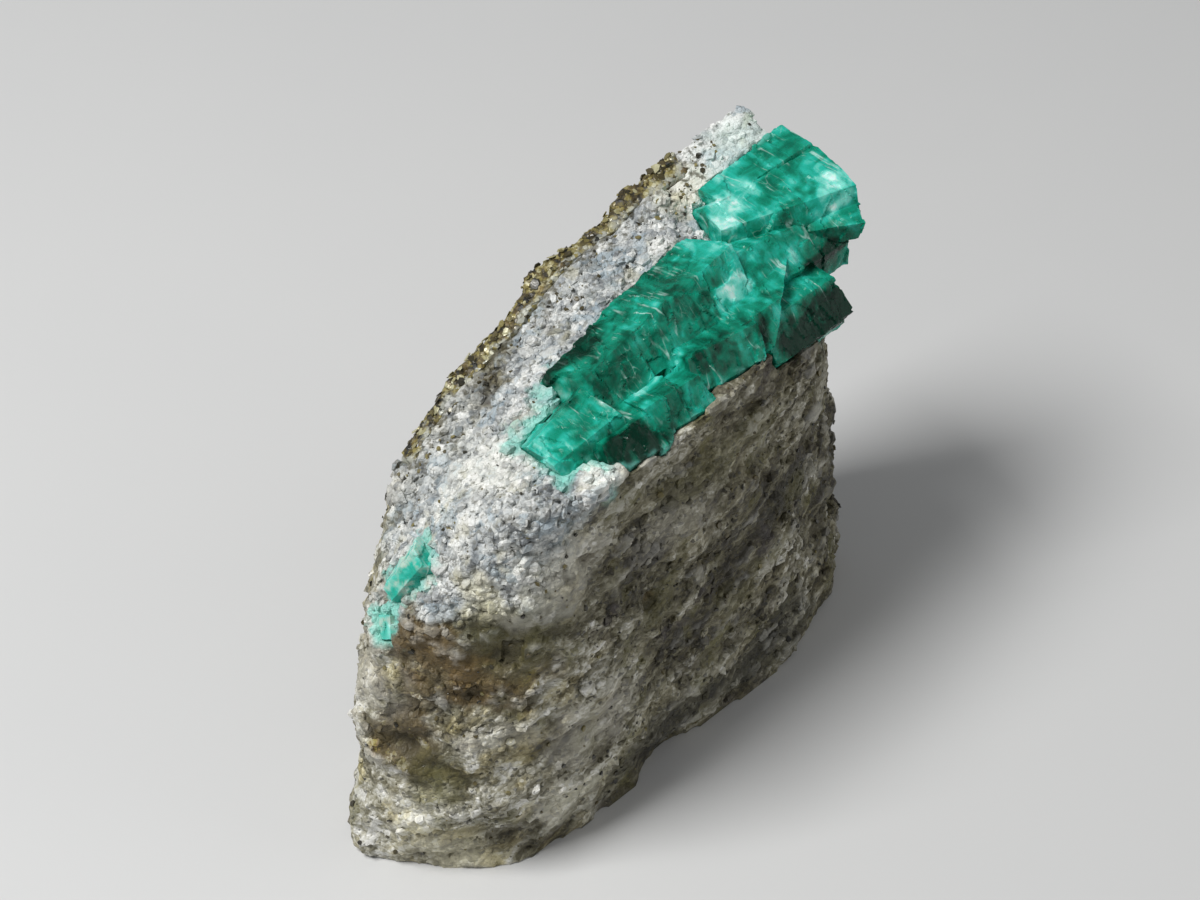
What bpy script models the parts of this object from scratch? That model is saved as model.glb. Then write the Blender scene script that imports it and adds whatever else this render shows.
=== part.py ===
"""An emerald in its matrix, standing on the flat base it was broken to.

The block of rock is a loft of upright sections along its length, roughened into
the lumps, ledges and pits of a broken surface. A mica rind lies on its back and
shows as a band along its upper back edge. A fractured emerald crystal lies along
its upper front edge, and two small emerald grains sit in its near end. Lengths
are in metres. +X runs from the near end to the far end, -Y is the grey broken
front, and +Z is up.
"""

import math
from collections import namedtuple

import bmesh
import bpy
from mathutils import Vector, noise

MM = 0.001

# The middle of the block's length and depth, in millimetres of the tables below
BOX_CENTRE_X = 38.28
BOX_CENTRE_Y = 5.0

# Driving sizes of what is seated in the rock, in millimetres
RIND_THICKNESS = 2.8
SEAT_GAP = 0.3

# Resolution of the loft: its spacing along the block, and the steps from corner to corner
STATION_STEP = 1.75
EDGE_STEPS = (6, 8, 8, 6, 7, 7, 6, 4, 4)

# How the ends close: the size of each closing ring, and how far the last one stands out
NEAR_CAP_SCALES = (0.55,)
FAR_CAP_SCALES = (0.82, 0.62, 0.42, 0.24)
NEAR_CAP_BULGE = 0.8
FAR_CAP_BULGE = 1.5

# The near end leans in by this much at this height of its first section
NEAR_LEAN = 6.0
NEAR_LEAN_HEIGHT = 40.0
NEAR_LEAN_POWER = 1.3
NEAR_LEAN_REACH = 20.0

# The broken surface: heights and spacings of its lumps and of its ledges
LUMP_RELIEF = 1.5
LUMP_SIZE = (15, 12, 9)
LUMP_FINENESS = (0.8, 2.1, 4)
LEDGE_RELIEF = 1.3
LEDGE_SPACING = 6.2
LEDGE_CLIMB = 0.06
LEDGE_WAVER = 3.5
LEDGE_WAVER_SIZE = (11, 8, 20)
LEDGE_PATCH_SIZE = (18, 14, 12)
LEDGE_PATCH_SHIFT = Vector((7.3, 0, 0))

# A point moves no further than this share of the distance to its nearest neighbour
RELIEF_REACH = 0.6

# Points up to this height belong to the flat base, and none moves below the margin
BASE_HEIGHT = 0.01
BASE_MARGIN = 1.0

Section = namedtuple(
    "Section",
    "x base_front front_low front_high ridge top_middle rim back_high back_low base_back",
)

# Upright sections from the near end to the far end: x, then (y, z) of each corner
SECTIONS = (
    Section(-6.0, (4, 0), (3.5, 13), (3.5, 28), (4.5, 38),
            (6, 39), (7.5, 38), (8, 28), (8, 13), (7.5, 0)),
    Section(-4.2, (0.5, 0), (-0.5, 14), (-0.5, 31), (1, 43),
            (4.5, 43), (8.5, 40), (9.5, 28), (9.5, 14), (9, 0)),
    Section(-1.5, (-3.5, 0), (-4.5, 14), (-4.5, 33), (-2.5, 49),
            (3.5, 48), (9.5, 42), (11, 29), (11.5, 14), (11, 0)),
    Section(2.0, (-7, 0), (-8, 14), (-7.5, 36), (-5.5, 54),
            (2.5, 52), (11, 44), (13.5, 31), (14, 14), (13, 0)),
    Section(7.0, (-10, 0), (-11, 15), (-10.5, 37), (-8, 57),
            (2.5, 55), (14, 46), (17, 32), (18, 15), (17, 0)),
    Section(18.0, (-11.8, 0), (-13, 16), (-12.5, 37), (-10.5, 57.5),
            (3, 57), (18.5, 51), (21, 34), (21.5, 16), (20, 0)),
    Section(26.5, (-12.3, 0), (-12.8, 12), (-12.3, 37), (-10.5, 56.8),
            (5, 58.5), (19.5, 54.5), (22, 36), (22, 16), (21, 0)),
    Section(30.5, (-9.8, 0), (-12.2, 7), (-12, 37), (-10.5, 56),
            (5, 59.5), (20, 56), (22.5, 36), (22.5, 16), (21, 0)),
    Section(36.0, (-8.8, 0), (-11.5, 7), (-12, 37), (-10.8, 56.8),
            (6, 60.5), (20, 58.5), (22.5, 36), (22.5, 16), (21, 0)),
    Section(42.0, (-10.6, 0), (-12, 12), (-12, 36), (-10.8, 57.5),
            (7, 61.5), (20.5, 61), (23, 38), (22.5, 17), (21, 0)),
    Section(54.0, (-11.2, 0), (-11.5, 16), (-11, 36), (-9.8, 58),
            (8, 62.5), (20.5, 65), (23, 40), (22, 17), (20.5, 0)),
    Section(65.0, (-9.5, 0), (-8.5, 16), (-7.5, 35), (-7.2, 52.5),
            (8, 62), (20, 66.5), (22.5, 40), (21, 17), (19.5, 0)),
    Section(73.0, (-7, 0), (-5, 15), (-3, 34), (-2.5, 48),
            (9, 62), (19.5, 68), (21, 40), (19.5, 16), (18, 0)),
    Section(79.0, (-2.5, 0), (0, 14), (1.5, 32), (3, 44),
            (10, 64), (19, 68.5), (19, 40), (17, 16), (15, 0)),
)

# Places of the corners in a section's list
RIM = 5
BACK_HIGH = 6
BACK_LOW = 7
BASE_BACK = 8

Spot = namedtuple("Spot", "place radius height")

# Local lumps and pits of the surface: place, radius and height in millimetres
SPOTS = (
    Spot((22, -10, 58), 5.0, 2.2),
    Spot((5.2, -8.5, 30), 4.0, -2.0),
    Spot((-2.4, 1.3, 21.5), 3.5, -1.8),
    Spot((29.5, -11.5, 33.2), 2.4, -1.5),
    Spot((2, -6, 24), 4.0, 1.2),
    Spot((9, -10, 40), 8.0, -0.9),
    Spot((14, -12, 46), 7.0, 1.2),
    Spot((46, -11.6, 30), 9.0, -0.9),
    Spot((58, -10, 14), 7.0, 0.9),
    Spot((79, 17, 68), 5.0, 1.6),
    Spot((70, 15, 67), 4.0, 1.0),
)

# Outline of the mica rind seen from the back, (x, z) in millimetres
RIND_OUTLINE = (
    (15, 90), (14, 50), (17, 40), (15, 28), (20, 18), (31, 12), (42, 16), (53, 9),
    (63, 13), (70, 22), (67, 34), (71, 47), (66, 57), (69, 90),
)
RIND_CENTRE = (43, 48)
RIND_OUTLINE_GROWTH = 1.014
RIND_REGION_FRONT = 8
RIND_REGION_BACK = 45

# How far the shape in front of the rind reaches past the block
CORE_FRONT = -30
CORE_TOP = 95
CORE_BASE = -5
CORE_START = -14
CORE_END = 92
CORE_STEP = 3

# How far the sides of a broken length differ from an even hexagon
UNEVEN_SIDES = 0.18
UNEVEN_PATTERN = (0.31, 1.3, 0.17)

Block = namedtuple("Block", "near far near_size far_size roll slant skew", defaults=(0.0,))

# Broken lengths of the crystal: centre, half width and height at each end, roll, and how far
# its ends lean along it with height, and its far end with width
EMERALD_BLOCKS = (
    Block((20.5, -2.5, 56), (31.5, -2.5, 57.2), (4.5, 3.5), (6.2, 5), 35, -0.3),
    Block((24.5, -6, 55.5), (34, -6.5, 55.5), (4, 4), (4.8, 5), 15, 0.3),
    Block((28.5, 1.8, 56.8), (44, 3, 58.3), (5.6, 5.5), (7.2, 6.4), 12, 0.4),
    Block((34, -6.3, 56.4), (43.5, -6.7, 56.6), (3.8, 4.4), (4, 4.6), 18, -0.3),
    Block((41.5, -4, 57), (53.5, -5.2, 57), (4, 5), (4.2, 5), 20, 0.25),
    Block((40, 2.6, 58.3), (57.5, 4.4, 59.5), (6.6, 5.6), (7.2, 6.2), 14, 0.4),
    Block((50, -3.6, 57.3), (62, -3.4, 57.6), (5, 4.6), (5.4, 4.6), 25, 0.35, 1.3),
    Block((54, 3.6, 59.2), (77.6, 1.8, 57.6), (6.6, 5.4), (5, 4.6), 8, -0.1),
    Block((55, -3.6, 55.3), (71.2, -2.8, 54), (5.6, 5.6), (5.6, 5.4), 30, -0.2),
    Block((62.5, 9.8, 60.6), (81, 5.4, 62.4), (4.2, 5.2), (8.6, 5.4), -14, 0.1),
    Block((73, 2.5, 61.4), (79.2, -1.0, 61.8), (3.2, 2.4), (4.2, 3), 4, 0.2),
    Block((66, 11.5, 62), (82.4, 10.8, 62.8), (4, 4.2), (5.4, 5), 26, -0.1),
)

UPPER_GRAIN = Block((2.3, 6, 41.9), (5, 2.8, 48.7), (1.9, 1.7), (2.5, 2.1), 20, 0.2)
LOWER_GRAIN = Block((-0.5, 4.4, 36.8), (0.8, 5.8, 39.2), (1.2, 1.1), (1.5, 1.3), 10, 0.0)


def point(x, y, z):
    """A place of the tables as a vector in metres from the part's origin."""
    return Vector((x - BOX_CENTRE_X, y - BOX_CENTRE_Y, z)) * MM


def table_place(location):
    """The millimetres of the tables for a vector in metres."""
    return Vector((location.x / MM + BOX_CENTRE_X, location.y / MM + BOX_CENTRE_Y, location.z / MM))


def clear_scene():
    """Remove every object of the start-up scene."""
    for scene_object in list(bpy.data.objects):
        bpy.data.objects.remove(scene_object, do_unlink=True)


def make_collection(name):
    """A new collection in the scene."""
    collection = bpy.data.collections.new(name)
    bpy.context.scene.collection.children.link(collection)
    return collection


def make_material(name, colour, roughness):
    """A plain Principled material."""
    material = bpy.data.materials.new(name)
    material.use_nodes = True
    shader = material.node_tree.nodes["Principled BSDF"]
    shader.inputs["Base Color"].default_value = (*colour, 1.0)
    shader.inputs["Roughness"].default_value = roughness
    shader.inputs["Metallic"].default_value = 0.0
    material.diffuse_color = (*colour, 1.0)
    return material


def dress(target, material):
    """Give the object one material."""
    target.data.materials.clear()
    target.data.materials.append(material)


def face_outward(bm):
    """Point every face of a closed bmesh outwards."""
    bmesh.ops.recalc_face_normals(bm, faces=bm.faces)
    if bm.calc_volume(signed=True) < 0:
        bmesh.ops.reverse_faces(bm, faces=bm.faces)


def add_object(name, bm, collection):
    """Turn a bmesh into an object of the collection."""
    face_outward(bm)
    mesh = bpy.data.meshes.new(name)
    bm.to_mesh(mesh)
    bm.free()
    new_object = bpy.data.objects.new(name, mesh)
    collection.objects.link(new_object)
    return new_object


def add_cutter(name, bm, collection):
    """An object that only shapes others, shown as wire and left out of renders."""
    cutter = add_object(name, bm, collection)
    cutter.hide_render = True
    cutter.display_type = "WIRE"
    return cutter


def triangulate(mesh):
    """Split every face of the mesh into triangles."""
    bm = bmesh.new()
    bm.from_mesh(mesh)
    bmesh.ops.triangulate(bm, faces=bm.faces)
    bm.to_mesh(mesh)
    bm.free()


def apply_boolean(target, cutter, operation):
    """Join, cut or cross the target with the cutter and keep the result as its mesh."""
    modifier = target.modifiers.new(operation.title(), "BOOLEAN")
    modifier.operation = operation
    modifier.solver = "EXACT"
    modifier.object = cutter
    bpy.context.view_layer.update()
    evaluated = target.evaluated_get(bpy.context.evaluated_depsgraph_get())
    result = bpy.data.meshes.new_from_object(evaluated)
    target.modifiers.remove(modifier)
    old_mesh = target.data
    target.data = result
    bpy.data.meshes.remove(old_mesh)
    triangulate(result)


def copy_object(source, name, collection):
    """A copy of an object with a mesh of its own."""
    duplicate = source.copy()
    duplicate.data = source.data.copy()
    duplicate.name = name
    collection.objects.link(duplicate)
    return duplicate


def joined_points(bm):
    """The points of a bmesh as a list for each separate body in it."""
    unseen = set(bm.verts)
    bodies = []
    while unseen:
        body = []
        front = [unseen.pop()]
        while front:
            vertex = front.pop()
            body.append(vertex)
            for edge in vertex.link_edges:
                other = edge.other_vert(vertex)
                if other in unseen:
                    unseen.remove(other)
                    front.append(other)
        bodies.append(body)
    return bodies


def drop_crumbs(target):
    """Keep only the largest body of the object, without the crumbs that a cut leaves."""
    bm = bmesh.new()
    bm.from_mesh(target.data)
    bodies = sorted(joined_points(bm), key=len, reverse=True)
    for body in bodies[1:]:
        bmesh.ops.delete(bm, geom=body, context="VERTS")
    bm.to_mesh(target.data)
    bm.free()


def curve_value(before, start, end, after, t):
    """A smooth value between start and end that heads for the values either side."""
    slope_in = (end - before) * 0.5
    slope_out = (after - start) * 0.5
    t2 = t * t
    t3 = t2 * t
    from_start = start * (2 * t3 - 3 * t2 + 1) + slope_in * (t3 - 2 * t2 + t)
    to_end = end * (3 * t2 - 2 * t3) + slope_out * (t3 - t2)
    return from_start + to_end


def corners_at(x):
    """The (y, z) corners of the block's section at x, in millimetres."""
    last = len(SECTIONS) - 1
    index = 0
    while index < last - 1 and x > SECTIONS[index + 1].x:
        index += 1
    rows = [SECTIONS[min(max(index + step, 0), last)] for step in (-1, 0, 1, 2)]
    t = min(max((x - rows[1].x) / (rows[2].x - rows[1].x), 0.0), 1.0)
    corners = []
    for place in range(1, len(Section._fields)):
        y = curve_value(*(row[place][0] for row in rows), t)
        z = curve_value(*(row[place][1] for row in rows), t)
        corners.append((y, max(z, 0.0)))
    return corners


def ring_at(x):
    """(y, z) points round the section at x, with a point on each of its corners."""
    corners = corners_at(x)
    ring = []
    for (y0, z0), (y1, z1), steps in zip(corners, corners[1:] + corners[:1], EDGE_STEPS):
        for step in range(steps):
            share = step / steps
            ring.append((y0 + (y1 - y0) * share, z0 + (z1 - z0) * share))
    return ring


def near_lean(x, z):
    """How far the near end leans in at a place, in millimetres."""
    share = max(0.0, 1.0 - (x - SECTIONS[0].x) / NEAR_LEAN_REACH)
    return NEAR_LEAN * (z / NEAR_LEAN_HEIGHT) ** NEAR_LEAN_POWER * min(share, 1.0)


def leaning_ring(x, ring, scale=1.0):
    """A ring of the loft, drawn in by equal margins where it closes an end."""
    low_y, high_y = min(y for y, _ in ring), max(y for y, _ in ring)
    low_z, high_z = min(z for _, z in ring), max(z for _, z in ring)
    middle_y = (low_y + high_y) / 2
    middle_z = (low_z + high_z) / 2
    scale_z = 1.0 - (1.0 - scale) * (high_y - low_y) / (high_z - low_z)
    places = []
    for y, z in ring:
        drawn_y = middle_y + (y - middle_y) * scale
        drawn_z = middle_z + (z - middle_z) * scale_z
        places.append(point(x + near_lean(x, drawn_z), drawn_y, drawn_z))
    return places


def loft(rings):
    """A closed bmesh through rings of the same number of points."""
    bm = bmesh.new()
    loops = [[bm.verts.new(place) for place in ring] for ring in rings]
    count = len(loops[0])
    for near, far in zip(loops, loops[1:]):
        for number in range(count):
            after = (number + 1) % count
            bm.faces.new((near[number], near[after], far[after], far[number]))
    bm.faces.new(loops[0])
    bm.faces.new(loops[-1])
    face_outward(bm)
    return bm


def block_rings():
    """The rings of the whole block, with the rings of its end caps."""
    first = SECTIONS[0].x
    last = SECTIONS[-1].x
    steps = round((last - first) / STATION_STEP)
    rings = []
    for scale in reversed(NEAR_CAP_SCALES):
        rings.append(leaning_ring(first - NEAR_CAP_BULGE * (1 - scale), ring_at(first), scale))
    for step in range(steps + 1):
        x = first + (last - first) * step / steps
        rings.append(leaning_ring(x, ring_at(x)))
    for scale in FAR_CAP_SCALES:
        rings.append(leaning_ring(last + FAR_CAP_BULGE * (1 - scale), ring_at(last), scale))
    return rings


def shrunk(place, size):
    """A place divided by a size along each axis."""
    return Vector(coordinate / length for coordinate, length in zip(place, size))


def broken_relief(place):
    """How far the broken surface stands out at a place, in millimetres."""
    lumps = noise.fractal(shrunk(place, LUMP_SIZE), *LUMP_FINENESS)
    waver = noise.noise(shrunk(place, LEDGE_WAVER_SIZE)) * LEDGE_WAVER
    layer = (place.z + waver + place.x * LEDGE_CLIMB) / LEDGE_SPACING
    ledge = 0.5 - (layer - math.floor(layer))
    patchy = 0.5 + 0.5 * noise.noise(shrunk(place, LEDGE_PATCH_SIZE) + LEDGE_PATCH_SHIFT)
    height = LUMP_RELIEF * lumps + LEDGE_RELIEF * ledge * patchy
    for spot in SPOTS:
        distance = (place - Vector(spot.place)).length / spot.radius
        if distance < 1.0:
            height += spot.height * (1 - distance * distance) ** 2
    return height


def roughen(bm):
    """Move the surface in and out along its normals, leaving the base flat."""
    bm.normal_update()
    moves = []
    for vertex in bm.verts:
        reach = RELIEF_REACH * min(edge.calc_length() for edge in vertex.link_edges)
        height = broken_relief(table_place(vertex.co)) * MM
        move = vertex.normal * min(max(height, -reach), reach)
        on_base = vertex.co.z < BASE_HEIGHT * MM
        if on_base or vertex.co.z + move.z < BASE_MARGIN * MM:
            move.z = 0.0
        moves.append(move)
    for vertex, move in zip(bm.verts, moves):
        vertex.co += move


def build_rock(collection):
    """The whole block, roughened, before anything is seated in it."""
    bm = loft(block_rings())
    roughen(bm)
    bmesh.ops.triangulate(bm, faces=bm.faces)
    return add_object("matrix", bm, collection)


def build_rind_core(inset, collection):
    """Everything in front of the surface that the mica rind lies on."""
    rings = []
    for x in range(CORE_START, CORE_END, CORE_STEP):
        corners = corners_at(x)
        rim_y, rim_z = corners[RIM]
        high_y, high_z = corners[BACK_HIGH]
        low_y, low_z = corners[BACK_LOW]
        base_y, _ = corners[BASE_BACK]
        outline = (
            (CORE_FRONT, CORE_BASE),
            (CORE_FRONT, CORE_TOP),
            (rim_y - inset, CORE_TOP),
            (rim_y - inset, rim_z),
            (high_y - inset, high_z),
            (low_y - inset, low_z),
            (base_y - inset, CORE_BASE),
        )
        rings.append([point(x, y, z) for y, z in outline])
    return add_cutter("rind_core", loft(rings), collection)


def build_rind_region(growth, collection):
    """An upright slab through the back of the block, with the rind's ragged outline."""
    centre_x, centre_z = RIND_CENTRE
    rings = []
    for y in (RIND_REGION_FRONT, RIND_REGION_BACK):
        ring = []
        for x, z in RIND_OUTLINE:
            grown_x = centre_x + (x - centre_x) * growth
            grown_z = centre_z + (z - centre_z) * growth
            ring.append(point(grown_x, y, grown_z))
        rings.append(ring)
    return add_cutter("rind_region", loft(rings), collection)


def build_rind(rock, model, cutters):
    """The mica rind, cut from the back of the rock, and its seat in the rock."""
    rind = copy_object(rock, "mica_rind", model)
    region = build_rind_region(1.0, cutters)
    apply_boolean(region, build_rind_core(RIND_THICKNESS, cutters), "DIFFERENCE")
    apply_boolean(rind, region, "INTERSECT")
    drop_crumbs(rind)
    seat = build_rind_region(RIND_OUTLINE_GROWTH, cutters)
    apply_boolean(seat, build_rind_core(RIND_THICKNESS + SEAT_GAP, cutters), "DIFFERENCE")
    apply_boolean(rock, seat, "DIFFERENCE")
    return rind


def side_length(block, centre, angle):
    """How far one corner of a broken length stands out, as a share of an even hexagon's."""
    along_near, round_axis, along_far = UNEVEN_PATTERN
    place = Vector((block.near[0] * along_near, angle * round_axis, centre.x * along_far))
    return 1.0 + UNEVEN_SIDES * noise.noise(place)


def build_block(block, growth):
    """A broken length of a six-sided crystal, made growth larger on every side."""
    bm = bmesh.new()
    bmesh.ops.create_cone(bm, cap_ends=True, segments=6, radius1=1, radius2=1, depth=1)
    near = Vector(block.near)
    far = Vector(block.far)
    along = (far - near).normalized()
    across = Vector((0, 0, 1)).cross(along).normalized()
    upward = along.cross(across)
    roll = math.radians(block.roll)
    for vertex in bm.verts:
        is_far = vertex.co.z > 0
        centre = far + along * growth if is_far else near - along * growth
        size = block.far_size if is_far else block.near_size
        angle = math.atan2(vertex.co.y, vertex.co.x) + roll
        uneven = side_length(block, centre, angle)
        width = math.cos(angle) * (size[0] * uneven + growth)
        height = math.sin(angle) * (size[1] * uneven + growth)
        lean = height * block.slant + (width * block.skew if is_far else 0.0)
        vertex.co = point(*(centre + across * width + upward * height + along * lean))
    bmesh.ops.triangulate(bm, faces=bm.faces)
    return bm


def build_crystal(name, blocks, collection):
    """Lengths of crystal joined into one body."""
    crystal = add_object(name, build_block(blocks[0], 0.0), collection)
    for number, block in enumerate(blocks[1:], 2):
        joined = add_object(f"{name}_length_{number}", build_block(block, 0.0), collection)
        apply_boolean(crystal, joined, "UNION")
        bpy.data.objects.remove(joined, do_unlink=True)
    return crystal


def seat_crystal(name, blocks, rock, model, cutters):
    """A crystal in the model, and its seat cut in the rock, one length at a time."""
    crystal = build_crystal(name, blocks, model)
    for number, block in enumerate(blocks, 1):
        seat = add_cutter(f"{name}_seat_{number}", build_block(block, SEAT_GAP), cutters)
        apply_boolean(rock, seat, "DIFFERENCE")
    return crystal


def main():
    """Build the rock and what is seated in it."""
    clear_scene()
    model = make_collection("emerald_in_matrix")
    cutters = make_collection("seat_shapes")
    rock_material = make_material("quartz_and_schist", (0.56, 0.52, 0.46), 0.75)
    mica_material = make_material("weathered_mica", (0.36, 0.27, 0.12), 0.45)
    emerald_material = make_material("emerald", (0.02, 0.42, 0.30), 0.2)

    rock = build_rock(model)
    rind = build_rind(rock, model, cutters)
    emerald = seat_crystal("emerald_crystal", EMERALD_BLOCKS, rock, model, cutters)
    upper_grain = seat_crystal("emerald_grain_upper", (UPPER_GRAIN,), rock, model, cutters)
    lower_grain = seat_crystal("emerald_grain_lower", (LOWER_GRAIN,), rock, model, cutters)
    drop_crumbs(rock)

    dress(rock, rock_material)
    dress(rind, mica_material)
    for crystal in (emerald, upper_grain, lower_grain):
        dress(crystal, emerald_material)


main()
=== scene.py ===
"""The look of an emerald in its matrix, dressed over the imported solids.

Each solid gets a finely broken surface of its own form: sugary quartz and foliated
schist on the rock, flaky mica on the rind, and glassy breaks on the emerald. Grains
of quartz and flakes of mica lie on them. Lengths in the classes are in millimetres
of the part's frame: +X runs from the near end to the far end, -Y is the grey broken
front and +Z is up.
"""

import logging
import math
from dataclasses import dataclass, field
from enum import Enum

import bmesh
import bpy
import numpy as np
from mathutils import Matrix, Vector
from mathutils.bvhtree import BVHTree


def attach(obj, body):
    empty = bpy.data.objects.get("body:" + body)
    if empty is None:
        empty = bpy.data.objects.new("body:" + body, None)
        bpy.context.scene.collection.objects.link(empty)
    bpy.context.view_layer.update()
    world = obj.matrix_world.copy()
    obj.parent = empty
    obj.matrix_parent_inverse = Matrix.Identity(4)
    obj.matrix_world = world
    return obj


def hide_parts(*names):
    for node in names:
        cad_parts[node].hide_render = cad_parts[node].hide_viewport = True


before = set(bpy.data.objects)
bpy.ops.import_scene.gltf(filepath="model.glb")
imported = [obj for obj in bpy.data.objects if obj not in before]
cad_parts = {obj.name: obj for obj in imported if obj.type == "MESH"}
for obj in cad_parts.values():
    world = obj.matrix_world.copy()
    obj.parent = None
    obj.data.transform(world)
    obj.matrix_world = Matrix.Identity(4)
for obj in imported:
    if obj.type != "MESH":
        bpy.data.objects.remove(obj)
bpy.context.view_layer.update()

log = logging.getLogger("emerald_in_matrix")

MM = 0.001
BODY = "root"

Colour = tuple[float, float, float]
Triple = tuple[float, float, float]


class Slot(Enum):
    """The record's material slots."""

    ROCK = "quartz_and_schist"
    MICA = "weathered_mica"
    EMERALD = "emerald"
    GRAIN = "emerald_grain"


class GrainShape(Enum):
    """The forms of the small pieces that have grown on the surface."""

    LUMP = "an uneven grain with flat faces"
    FLAKE = "a thin six-sided plate"


# Numbers that vary over a surface


def even_random(cells: np.ndarray, channel: int) -> np.ndarray:
    """Even random numbers for whole-number cell addresses, the same in every run.

    Args:
        cells: Whole-number addresses, one row of three a cell.
        channel: Which of the independent sets of numbers to give.

    Returns:
        One number from 0 to 1 a row.
    """
    low_bits = 0xFFFFFFFF
    whole = cells.astype(np.int64)
    mixed = (whole[..., 0] * 73856093) ^ (whole[..., 1] * 19349663) ^ (whole[..., 2] * 83492791)
    mixed = (mixed ^ (channel * 668265263 + 374761393)) & low_bits
    for factor in (1274126177, 2246822519 >> 1):
        mixed = ((mixed ^ (mixed >> 15)) * factor) & low_bits
    return ((mixed ^ (mixed >> 16)) & low_bits) / float(low_bits)


def ease(values: np.ndarray) -> np.ndarray:
    """A smooth step from 0 to 1 of values that are cut off at 0 and 1."""
    held = np.clip(values, 0.0, 1.0)
    return held * held * (3.0 - 2.0 * held)


def rise(values: np.ndarray, low: float, high: float) -> np.ndarray:
    """A smooth step from 0 at the value low to 1 at the value high."""
    return ease((values - low) / (high - low))


@dataclass(frozen=True)
class SoftNoise:
    """Smooth random heights from -1 to 1, with a wave length along each axis."""

    spacing: Triple
    seed: int
    octaves: int = 1

    def heights(self, places: np.ndarray) -> np.ndarray:
        """The heights at the places.

        Args:
            places: One row of three millimetre coordinates a place.

        Returns:
            One height a place.
        """
        total = np.zeros(len(places))
        strength = 1.0
        for octave in range(self.octaves):
            scaled = places * (2.0**octave) / np.array(self.spacing)
            corner = np.floor(scaled)
            share = scaled - corner
            share = share * share * (3.0 - 2.0 * share)
            value = np.zeros(len(places))
            for number in range(8):
                step = np.array([number & 1, (number >> 1) & 1, number >> 2])
                weight = np.prod(np.where(step == 1, share, 1.0 - share), axis=1)
                value += weight * even_random(corner + step, self.seed + octave * 17)
            total += (value * 2.0 - 1.0) * strength
            strength *= 0.5
        return total


@dataclass(frozen=True)
class BrokenCells:
    """Random cells, each with a flat facet of its own height and tilt."""

    size: Triple
    seed: int
    tilt: float = 1.0
    step: float = 0.5

    def heights(self, places: np.ndarray) -> np.ndarray:
        """How far the facet at each place stands out.

        Args:
            places: One row of three millimetre coordinates a place.

        Returns:
            One height from about -1 to 1 a place.
        """
        scaled = places / np.array(self.size)
        base = np.floor(scaled)
        nearest = np.full(len(places), np.inf)
        delta = np.zeros_like(places)
        owner = np.zeros_like(places)
        for number in range(27):
            cell = base + np.array([number % 3 - 1, number // 3 % 3 - 1, number // 9 - 1])
            jitter = np.stack([even_random(cell, self.seed + axis) for axis in range(3)], axis=1)
            away = scaled - (cell + jitter)
            distance = np.einsum("ij,ij->i", away, away)
            closer = distance < nearest
            nearest[closer] = distance[closer]
            delta[closer] = away[closer]
            owner[closer] = cell[closer]
        slope = np.stack([even_random(owner, self.seed + 5 + axis) for axis in range(3)], axis=1)
        level = even_random(owner, self.seed + 9) - 0.5
        tilted = np.einsum("ij,ij->i", delta, slope - 0.5) * 2.0
        return level * 2.0 * self.step + tilted * self.tilt


# Meshes as arrays


@dataclass
class Surface:
    """The points of a mesh, as arrays in millimetres, that a relief can move."""

    mesh: bpy.types.Mesh
    places: np.ndarray = field(init=False)
    normals: np.ndarray = field(init=False)
    kept: dict[str, np.ndarray] = field(default_factory=dict)

    def __post_init__(self) -> None:
        """Read the points and their normals from the mesh."""
        count = len(self.mesh.vertices)
        flat = np.empty(count * 3)
        self.mesh.vertices.foreach_get("co", flat)
        self.places = flat.reshape(-1, 3) / MM
        normals = np.empty(count * 3)
        self.mesh.vertex_normals.foreach_get("vector", normals)
        self.normals = normals.reshape(-1, 3)

    def raise_by(self, heights: np.ndarray) -> None:
        """Move each point along its normal by its height in millimetres."""
        self.places = self.places + self.normals * heights[:, None]

    def write(self) -> None:
        """Put the points back in the mesh."""
        self.mesh.vertices.foreach_set("co", (self.places * MM).ravel())
        self.mesh.update()

    def keep(self, name: str, values: np.ndarray) -> None:
        """Store a value from 0 to 1 for each point, for the finish to read.

        Args:
            name: The value's name.
            values: One value a point.
        """
        layer = self.mesh.attributes.new(name, "FLOAT", "POINT")
        layer.data.foreach_set("value", np.clip(values, 0.0, 1.0).astype(np.float32))
        self.kept[name] = values


def node_tree_of(node: bpy.types.Object) -> BVHTree:
    """A search tree over the triangles of a CAD node, which lies in the part's frame.

    Args:
        node: The CAD node.

    Returns:
        The tree, in metres.
    """
    bm = bmesh.new()
    bm.from_mesh(node.data)
    tree = BVHTree.FromBMesh(bm)
    bm.free()
    return tree


def distances_to(tree: BVHTree, places: np.ndarray, furthest: float) -> np.ndarray:
    """How far each place is from a node's surface.

    Args:
        tree: The node's search tree, in metres.
        places: One row of three millimetre coordinates a place.
        furthest: The distance in millimetres beyond which places aren't searched.

    Returns:
        One distance in millimetres a place, no larger than furthest.
    """
    found = np.full(len(places), furthest)
    for index, place in enumerate(places):
        distance = tree.find_nearest(Vector(place) * MM, furthest * MM)[3]
        if distance is not None:
            found[index] = distance / MM
    return found


def show(name: str, mesh: bpy.types.Mesh, nodes: tuple[str, ...]) -> bpy.types.Object:
    """A piece of the model that rides on the specimen's one body.

    Args:
        name: The piece's name.
        mesh: Its mesh, in the part's frame.
        nodes: The CAD nodes that it stands for.

    Returns:
        The new object.
    """
    piece = bpy.data.objects.new(name, mesh)
    bpy.context.scene.collection.objects.link(piece)
    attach(piece, BODY)
    if nodes:
        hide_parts(*nodes)
    return piece


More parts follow.
